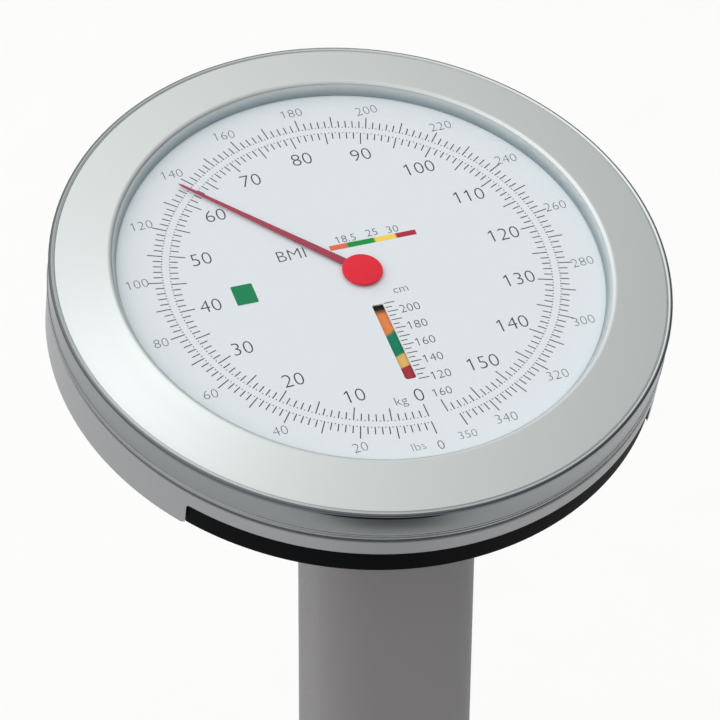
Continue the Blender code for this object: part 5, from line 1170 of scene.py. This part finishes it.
class SCALE_OT_housing(bpy.types.Operator):
    """Builds the lacquered band behind the bezel, with its cut-out and four tabs"""

    bl_idname = "column_scale.housing"
    bl_label = "Housing band"

    def execute(self, context):
        sizes = context.scene.scale_head
        sheet = sizes.housing_sheet
        outer = sizes.head_radius - GAP
        inner = sizes.head_radius - sizes.sheet - 0.7 * MM - GAP - sheet
        top = sizes.face_edge_height - sizes.sheet - 2 * GAP
        joggle = -sizes.foot_depth - GAP
        bottom = -sizes.housing_depth
        soft = 0.5 * MM
        profile = [
            (inner + sheet, top),
            (inner + sheet, joggle),
            (outer - soft, joggle - 0.1 * MM),
            (outer, joggle - soft),
            (outer, bottom + soft),
            (outer - soft, bottom),
            (outer - sheet, bottom),
            (outer - sheet, joggle - sheet),
            (inner, joggle - sheet),
            (inner, top),
        ]
        band = carved(spun(profile), arch(sizes, 0))
        # The band's lower corners beside the cut-out are broken, so light shows past them.
        reach = sizes.head_radius * sin(sizes.cutout_angle)
        chip_half, tab_half = 1.3 * MM, 8 * MM
        for side in (-1, 1):
            chip = block((-chip_half, -reach * 2, -chip_half), (chip_half, 0, chip_half))
            moved(chip, Matrix.Rotation(pi / 4, 4, "Y"))
            band = carved(band, moved(chip, Matrix.Translation((side * reach, 0, bottom))))
        tab_low, tab_high = -7.9 * MM, -6.3 * MM
        tabs = [
            moved(
                block((inner - tab_half, -tab_half, tab_low), (inner + sheet / 2, tab_half, tab_high)),
                Matrix.Rotation(radians(angle), 4, "Z"),
            )
            for angle in (45, 135, 225, 315)
        ]
        piece("housing_band", joined(band, *tabs), "grey_painted_steel", "housing_ring", HEAD)
        return {"FINISHED"}


def knob_place(sizes):
    """Where the zero knob stands on the head's back."""
    return Matrix.Translation((*polar(sizes.head_radius - 50 * MM, radians(-150)), 0))


class SCALE_OT_rear_cover(bpy.types.Operator):
    """Builds the black cover at the head's back, with the insert that shows under the band and its screws"""

    bl_idname = "column_scale.rear_cover"
    bl_label = "Rear cover"

    def execute(self, context):
        sizes = context.scene.scale_head
        bottom = -sizes.housing_depth
        wall = 2.4 * MM
        outer = sizes.head_radius - 2 * GAP - sizes.housing_sheet
        corner = 5.0 * MM
        top = -22 * MM
        profile = [
            (0, bottom),
            *arc((outer - corner, bottom + corner), corner, -90, 0, 5),
            (outer, top),
            (outer - wall, top),
            (outer - wall, bottom + wall),
            (0, bottom + wall),
        ]
        lip = sizes.head_radius - 1.2 * MM
        lip_top = -sizes.cutout_depth
        lip_bottom = bottom + 0.15 * MM
        roll = 1.7 * MM
        lip_inner = lip - roll - 1 * MM
        lip_profile = [
            (lip_inner, lip_bottom),
            *arc((lip - roll, lip_bottom + roll), roll, -90, 0, 6),
            (lip, lip_top),
            (lip_inner, lip_top),
        ]
        insert = carved(spun(lip_profile), arch(sizes, sizes.insert_gap), "INTERSECT")
        cover = carved(spun(profile), insert, "UNION")
        # The column's oval as a bar that passes through the head.
        below, above = 0.6, 1.2
        bar = oval_prism(COLUMN_HALF_WIDTH - 2 * MM, COLUMN_HALF_DEPTH - 1 * MM, below, above)
        cover = carved(cover, moved(bar, HEAD.inverted() @ COLUMN))
        bore = 3.3 * MM
        hole = spun([(0, 2 * bottom), (bore, 2 * bottom), (bore, 0), (0, 0)], 32)
        cover = carved(cover, moved(hole, knob_place(sizes)))
        piece("black_cover", cover, "black_plastic", "rear_cover", HEAD)
        screws = []
        radius = outer - 12 * MM
        head_rise, head_radius, sunk = 2.2 * MM, 3.5 * MM, 0.2 * MM
        reach, half = 2 * MM, 0.4 * MM
        low, high = -3 * MM, -1.1 * MM
        for angle in (30, 70, 110, 150, 200, 340):
            head = spun([(0, -head_rise), *arc((0, 0), head_radius, -60, -5, 5), (0, sunk)], 32)
            for turn in (0, pi / 2):
                cross = block((-reach, -half, low), (reach, half, high))
                head = carved(head, moved(cross, Matrix.Rotation(turn, 4, "Z")))
            screws.append(moved(head, Matrix.Translation((*polar(radius, radians(angle)), bottom))))
        piece("cover_screws", joined(*screws), "zinc_plated_steel", place=HEAD)
        return {"FINISHED"}


class SCALE_OT_zero_knob(bpy.types.Operator):
    """Builds the fluted zero knob under the head"""

    bl_idname = "column_scale.zero_knob"
    bl_label = "Zero knob"

    def execute(self, context):
        sizes = context.scene.scale_head
        ribs = context.scene.scale_stand.knob_ribs
        top = -sizes.housing_depth - GAP
        crown, flute, depth = 11 * MM, 0.45 * MM, 10 * MM
        made = bmesh.new()
        bmesh.ops.create_circle(made, segments=12 * ribs, radius=1, cap_ends=True)
        for vert in made.verts:
            angle = atan2(vert.co.y, vert.co.x)
            radius = crown - flute * (1 - cos(angle * ribs))
            vert.co = (*polar(radius, angle), top)
        raised(made, -depth)
        bevelled(made, sharp_edges(made, 60), 0.8 * MM, 3)
        radius, low, high = 3 * MM, top - 5 * MM, top + 6 * MM
        shaft = spun([(0, low), (radius, low), (radius, high), (0, high)], 32)
        made = joined(made, shaft)
        piece("fluted_knob", made, "black_plastic", "zero_knob", HEAD @ knob_place(sizes), "zero_knob")
        return {"FINISHED"}


class SCALE_OT_column(bpy.types.Operator):
    """Builds the oval column tube, cut to the head's slope at its top"""

    bl_idname = "column_scale.column"
    bl_label = "Column"

    def execute(self, context):
        sizes = context.scene.scale_head
        wall = context.scene.scale_stand.column_wall
        top = DIAL_CENTRE.z
        low = COLUMN_LOW.z
        bore = oval_prism(COLUMN_HALF_WIDTH - wall, COLUMN_HALF_DEPTH - wall, low - wall, top + wall)
        tube = carved(oval_prism(COLUMN_HALF_WIDTH, COLUMN_HALF_DEPTH, low, top), bore)
        reach = 3 * sizes.head_radius
        cut = block((-reach, -reach, -sizes.housing_depth - GAP), (reach, reach, reach))
        tube = carved(tube, moved(cut, COLUMN.inverted() @ HEAD))
        piece("oval_column", tube, "grey_column_paint", "column_tube", COLUMN)
        return {"FINISHED"}


class SCALE_OT_skirt(bpy.types.Operator):
    """Builds the moulded skirt that sweeps from the base up to the column"""

    bl_idname = "column_scale.skirt"
    bl_label = "Column skirt"

    def execute(self, context):
        low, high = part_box("column_cover")
        # Both ends of the sweep: middle y, half width, half depth and squareness.
        middle = (low.y + high.y) / 2 - COLUMN.translation.y
        foot = (middle, (high.x - low.x) / 2, (high.y - low.y) / 2, 0.36)
        collar = (0, COLUMN_HALF_WIDTH + 4 * MM, COLUMN_HALF_DEPTH + 4 * MM, COLUMN_SQUARENESS)
        neck, steps = 0.94, 16
        wall = 3 * MM

        def level(rise, inset):
            share = min(1, rise / neck) ** 2.3
            place, half_width, half_depth, squareness = [
                start + (end - start) * share for start, end in zip(foot, collar)
            ]
            height = low.z + rise * (high.z - low.z)
            return height, place, half_width - inset, half_depth - inset, squareness

        rises = [neck * step / steps for step in range(steps + 1)] + [0.985]
        levels = [level(rise, 0) for rise in rises]
        levels += [level(1.0, 0.8 * MM), level(1.0, wall)]
        levels += [level(rise, wall) for rise in reversed(rises)]
        piece("column_skirt", lofted(levels), "grey_moulding", "column_cover", COLUMN)
        return {"FINISHED"}


class SCALE_OT_base(bpy.types.Operator):
    """Builds the pressed base pan and the deck that carries the column"""

    bl_idname = "column_scale.base"
    bl_label = "Base"

    def execute(self, context):
        corner = context.scene.scale_stand.base_corner
        low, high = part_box("base_frame")
        deck_sheet = 4 * MM
        wall = 5 * MM
        rim = high.z - deck_sheet
        pan = rounded_block(low, (high.x, high.y, rim), corner, edge=1.2 * MM, bottom_edge=2.5 * MM)
        inner_low = (low.x + wall, low.y + wall, low.z + deck_sheet)
        inner = rounded_block(inner_low, (high.x - wall, high.y - wall, rim + wall), corner - wall)
        piece("base_pan", carved(pan, inner), "grey_base_paint", "base_frame", sharp=50)
        deck_front = COLUMN.translation.y - 46 * MM
        deck = rounded_block((low.x, deck_front, rim), high, 2 * MM, corner, edge=1.5 * MM)
        middle = COLUMN.translation.y - 6 * MM
        half_width, half_depth = 17 * MM, 15 * MM
        hole = rounded_block(
            (-half_width, middle - half_depth, rim - wall),
            (half_width, middle + half_depth, high.z + wall),
            10 * MM,
        )
        piece("base_deck", carved(deck, hole), "grey_base_paint", "base_frame", sharp=50)
        return {"FINISHED"}


class SCALE_OT_feet(bpy.types.Operator):
    """Builds the four rubber feet"""

    bl_idname = "column_scale.feet"
    bl_label = "Feet"

    def execute(self, context):
        for corner in ("front_left", "front_right", "rear_left", "rear_right"):
            low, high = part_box(f"foot_{corner}")
            radius = (high.x - low.x) / 2
            hollow = 1.5 * MM
            soft = 0.8 * MM
            edge = 2 * MM
            profile = [
                (0, hollow),
                (radius - 8 * MM, hollow),
                (radius - 7 * MM, 0),
                (radius - 3 * MM, 0),
                *arc((radius - edge, edge + 0.5 * MM), edge, -60, 0, 4),
                (radius, high.z - soft),
                (radius - soft, high.z),
                (0, high.z),
            ]
            where = Matrix.Translation(((low.x + high.x) / 2, (low.y + high.y) / 2, 0))
            piece(f"rubber_foot_{corner}", spun(profile, 64), "black_rubber", f"foot_{corner}", where)
        return {"FINISHED"}


class SCALE_OT_castors(bpy.types.Operator):
    """Builds the two transport castors: tyre, wheel and axle"""

    bl_idname = "column_scale.castors"
    bl_label = "Castors"

    def execute(self, context):
        for side in ("left", "right"):
            body = f"castor_{side}"
            low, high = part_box(f"castor_tyre_{side}")
            radius = (high.z - low.z) / 2
            half = (high.x - low.x) / 2
            rim = radius - 5 * MM
            where = Matrix.Translation((low + high) / 2) @ Matrix.Rotation(pi / 2, 4, "Y")
            crown = 3 * MM
            tyre = [
                (rim + GAP, -half),
                *arc((radius - crown, -half + crown), crown, -90, 0, 5),
                *arc((radius - crown, half - crown), crown, 0, 90, 5),
                (rim + GAP, half),
            ]
            name = f"castor_tyre_{side}"
            piece(f"rubber_tyre_{side}", spun(tyre, 96), "black_rubber", name, where, body)
            bore, boss, well = 4.3 * MM, 8 * MM, rim - 3 * MM
            # Radius, and how far out the wheel's side stands there as a share of its half width.
            sides = [(bore, 1), (boss, 1), (boss, 0.5), (well, 0.4), (well, 1), (rim, 1)]
            wheel = [(place, -share * half) for place, share in sides]
            wheel += [(place, share * half) for place, share in reversed(sides)]
            made = spun(wheel, 96)
            bevelled(made, sharp_edges(made, 60), 0.4 * MM, 2)
            name = f"castor_wheel_{side}"
            piece(f"nylon_wheel_{side}", made, "grey_wheel_plastic", name, where, body)
            low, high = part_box(f"castor_axle_{side}")
            end = (high.x - low.x) / 2
            head = (high.z - low.z) / 2
            under, shank = -end + 2 * MM, 4 * MM
            pin = [
                (0, -end),
                (head - 1.5 * MM, -end),
                (head, -end + 0.7 * MM),
                (head, under),
                (shank, under),
                (shank, end - 0.8 * MM),
                (shank - 0.8 * MM, end),
                (0, end),
            ]
            name = f"castor_axle_{side}"
            piece(f"axle_pin_{side}", spun(pin, 48), "zinc_plated_steel", name, where)
        return {"FINISHED"}


class SCALE_OT_platform(bpy.types.Operator):
    """Builds the steel platform tray and its ribbed rubber mat"""

    bl_idname = "column_scale.platform"
    bl_label = "Platform"

    def execute(self, context):
        stand = context.scene.scale_stand
        low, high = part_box("platform_tray")
        sheet = 3 * MM
        corner = stand.tray_corner
        back = stand.tray_back_corner
        tray = rounded_block(low, high, corner, back, edge=2.6 * MM)
        inner_low = (low.x + sheet, low.y + sheet, low.z - sheet)
        inner_high = (high.x - sheet, high.y - sheet, high.z - sheet)
        tray = carved(tray, rounded_block(inner_low, inner_high, corner - sheet, back - sheet))
        # The back wall is open below, over the base's deck.
        clear = block(
            (low.x - sheet, high.y - back, low.z - sheet), (high.x + sheet, high.y + back, high.z - 14 * MM)
        )
        tray = carved(tray, clear)
        piece("steel_tray", tray, "grey_base_paint", "platform_tray", body="platform", sharp=50)
        low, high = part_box("platform_mat")
        pitch = (high.x - low.x) / stand.rib_count
        groove = 0.3 * pitch
        floor = high.z - stand.rib_depth
        outline = [(low.x, low.z), (high.x, low.z)]
        for number in range(stand.rib_count):
            right = high.x - number * pitch
            left = right - pitch + groove
            outline += [(right, high.z), (left, high.z), (left, floor), (left - groove, floor)]
        outline[-3:] = [(low.x, high.z)]
        ribs = slab(outline, -high.y, -low.y)
        upper = [edge for edge in edges_at(ribs, high.z, axis=1) if edge in sharp_edges(ribs)]
        bevelled(ribs, upper, 0.6 * MM, 2)
        moved(ribs, Matrix.Rotation(pi / 2, 4, "X"))
        inset = 5 * MM
        outside = rounded_block(
            (low.x, low.y, low.z - sheet), (high.x, high.y, high.z + sheet), corner - inset, back - inset
        )
        mat = carved(ribs, outside, "INTERSECT")
        piece("ribbed_mat", mat, "black_rubber", "platform_mat", body="platform")
        return {"FINISHED"}


def soft_light(name, offset, size, power):
    """A rectangular light beside the dial that faces it."""
    lamp = bpy.data.lights.new(name, "AREA")
    lamp.shape = "RECTANGLE"
    lamp.size, lamp.size_y = size
    lamp.energy = power
    item = bpy.data.objects.new(name, lamp)
    item.location = DIAL_CENTRE + Vector(offset)
    item.rotation_euler = (-Vector(offset)).to_track_quat("-Z", "Y").to_euler()
    bpy.context.collection.objects.link(item)


def room_light(strength):
    """Light from all round: brighter from the left, the back and above, and dim near the horizon."""
    world = bpy.data.worlds.new("soft room")
    world.use_nodes = True
    tree = world.node_tree
    towards = add_node(tree, "ShaderNodeTexCoord").outputs["Generated"]
    brighter_side = (-0.62, 0.24, 0.17)
    inputs = {0: towards, 1: brighter_side}
    sideways = add_node(tree, "ShaderNodeVectorMath", inputs, operation="DOT_PRODUCT")
    level = add_node(tree, "ShaderNodeMath", {0: sideways.outputs["Value"], 1: 0.99}, operation="ADD")
    upwards = add_node(tree, "ShaderNodeSeparateXYZ", {"Vector": towards})
    horizon = 0.28 * strength
    ends = {"From Min": 0.05, "From Max": 0.5, "To Min": horizon, "To Max": strength}
    height = add_node(tree, "ShaderNodeMapRange", {"Value": upwards.outputs["Z"], **ends})
    inputs = {0: level.outputs["Value"], 1: height.outputs["Result"]}
    total = add_node(tree, "ShaderNodeMath", inputs, operation="MULTIPLY")
    background = tree.nodes["Background"]
    background.inputs["Color"].default_value = (1, 1, 1, 1)
    tree.links.new(total.outputs["Value"], background.inputs["Strength"])
    return world


class SCALE_OT_stage(bpy.types.Operator):
    """Sets up the pale floor, soft lights and camera"""

    bl_idname = "column_scale.stage"
    bl_label = "Stage"

    def execute(self, context):
        scene = context.scene
        stage = scene.scale_stage
        made = bmesh.new()
        half_width = 8
        bmesh.ops.create_grid(made, x_segments=1, y_segments=1, size=half_width)
        floor = mesh_object("floor", made)
        floor.data.materials.append(dressed("pale floor paint", stage.floor, 0.7, 3.0, 0.02, mottle=0.01))
        scene.world = room_light(stage.sky)
        scene.view_settings.view_transform = "Standard"
        soft_light("key_light", (-0.16, 0.38, 1.63), (0.3, 0.45), stage.key_power)
        soft_light("side_light", (-2.2, -1.2, 0.5), (1.4, 1.8), stage.side_power)
        # The camera stands where the photograph was taken from, in the dial's own directions.
        camera_place = Vector((-487.1, -999.3, 1223.1)) * MM
        forward = Vector((0.28955, 0.58719, -0.75589)).normalized()
        right = Vector((0.93729, -0.33404, 0.09955))
        right = (right - right.dot(forward) * forward).normalized()
        turn = Matrix((right, right.cross(forward), -forward)).transposed().to_4x4()
        data = bpy.data.cameras.new("camera")
        data.lens = stage.lens
        data.sensor_width = 36
        camera = bpy.data.objects.new("camera", data)
        camera.matrix_world = HEAD @ Matrix.Translation(camera_place) @ turn
        context.collection.objects.link(camera)
        scene.camera = camera
        return {"FINISHED"}


OPERATORS = (
    SCALE_OT_mechanism,
    SCALE_OT_spring,
    SCALE_OT_bezel,
    SCALE_OT_glass,
    SCALE_OT_dial,
    SCALE_OT_ticks,
    SCALE_OT_numerals,
    SCALE_OT_height_scale,
    SCALE_OT_legend,
    SCALE_OT_disc,
    SCALE_OT_pointer,
    SCALE_OT_housing,
    SCALE_OT_rear_cover,
    SCALE_OT_zero_knob,
    SCALE_OT_column,
    SCALE_OT_skirt,
    SCALE_OT_base,
    SCALE_OT_feet,
    SCALE_OT_castors,
    SCALE_OT_platform,
    SCALE_OT_stage,
)


class SCALE_PT_panel(bpy.types.Panel):
    """Lists the operators that build the scale"""

    bl_idname = "SCALE_PT_panel"
    bl_label = "Column Scale"
    bl_space_type = "VIEW_3D"
    bl_region_type = "UI"
    bl_category = "Column Scale"

    def draw(self, context):
        for operator in OPERATORS:
            self.layout.operator(operator.bl_idname)


GROUPS = {
    "scale_head": HeadSizes,
    "scale_print": PrintSizes,
    "scale_pointer": PointerSizes,
    "scale_stand": StandSizes,
    "scale_colours": FinishColours,
    "scale_stage": StageSettings,
}
CLASSES = (*GROUPS.values(), *OPERATORS, SCALE_PT_panel)


def register():
    for group in CLASSES:
        bpy.utils.register_class(group)
    for name, group in GROUPS.items():
        setattr(bpy.types.Scene, name, bpy.props.PointerProperty(type=group))


def unregister():
    for name in GROUPS:
        delattr(bpy.types.Scene, name)
    for group in reversed(CLASSES):
        bpy.utils.unregister_class(group)


def main():
    register()
    for operator in OPERATORS:
        getattr(bpy.ops.column_scale, operator.bl_idname.split(".")[1])()


if __name__ == "__main__":
    main()
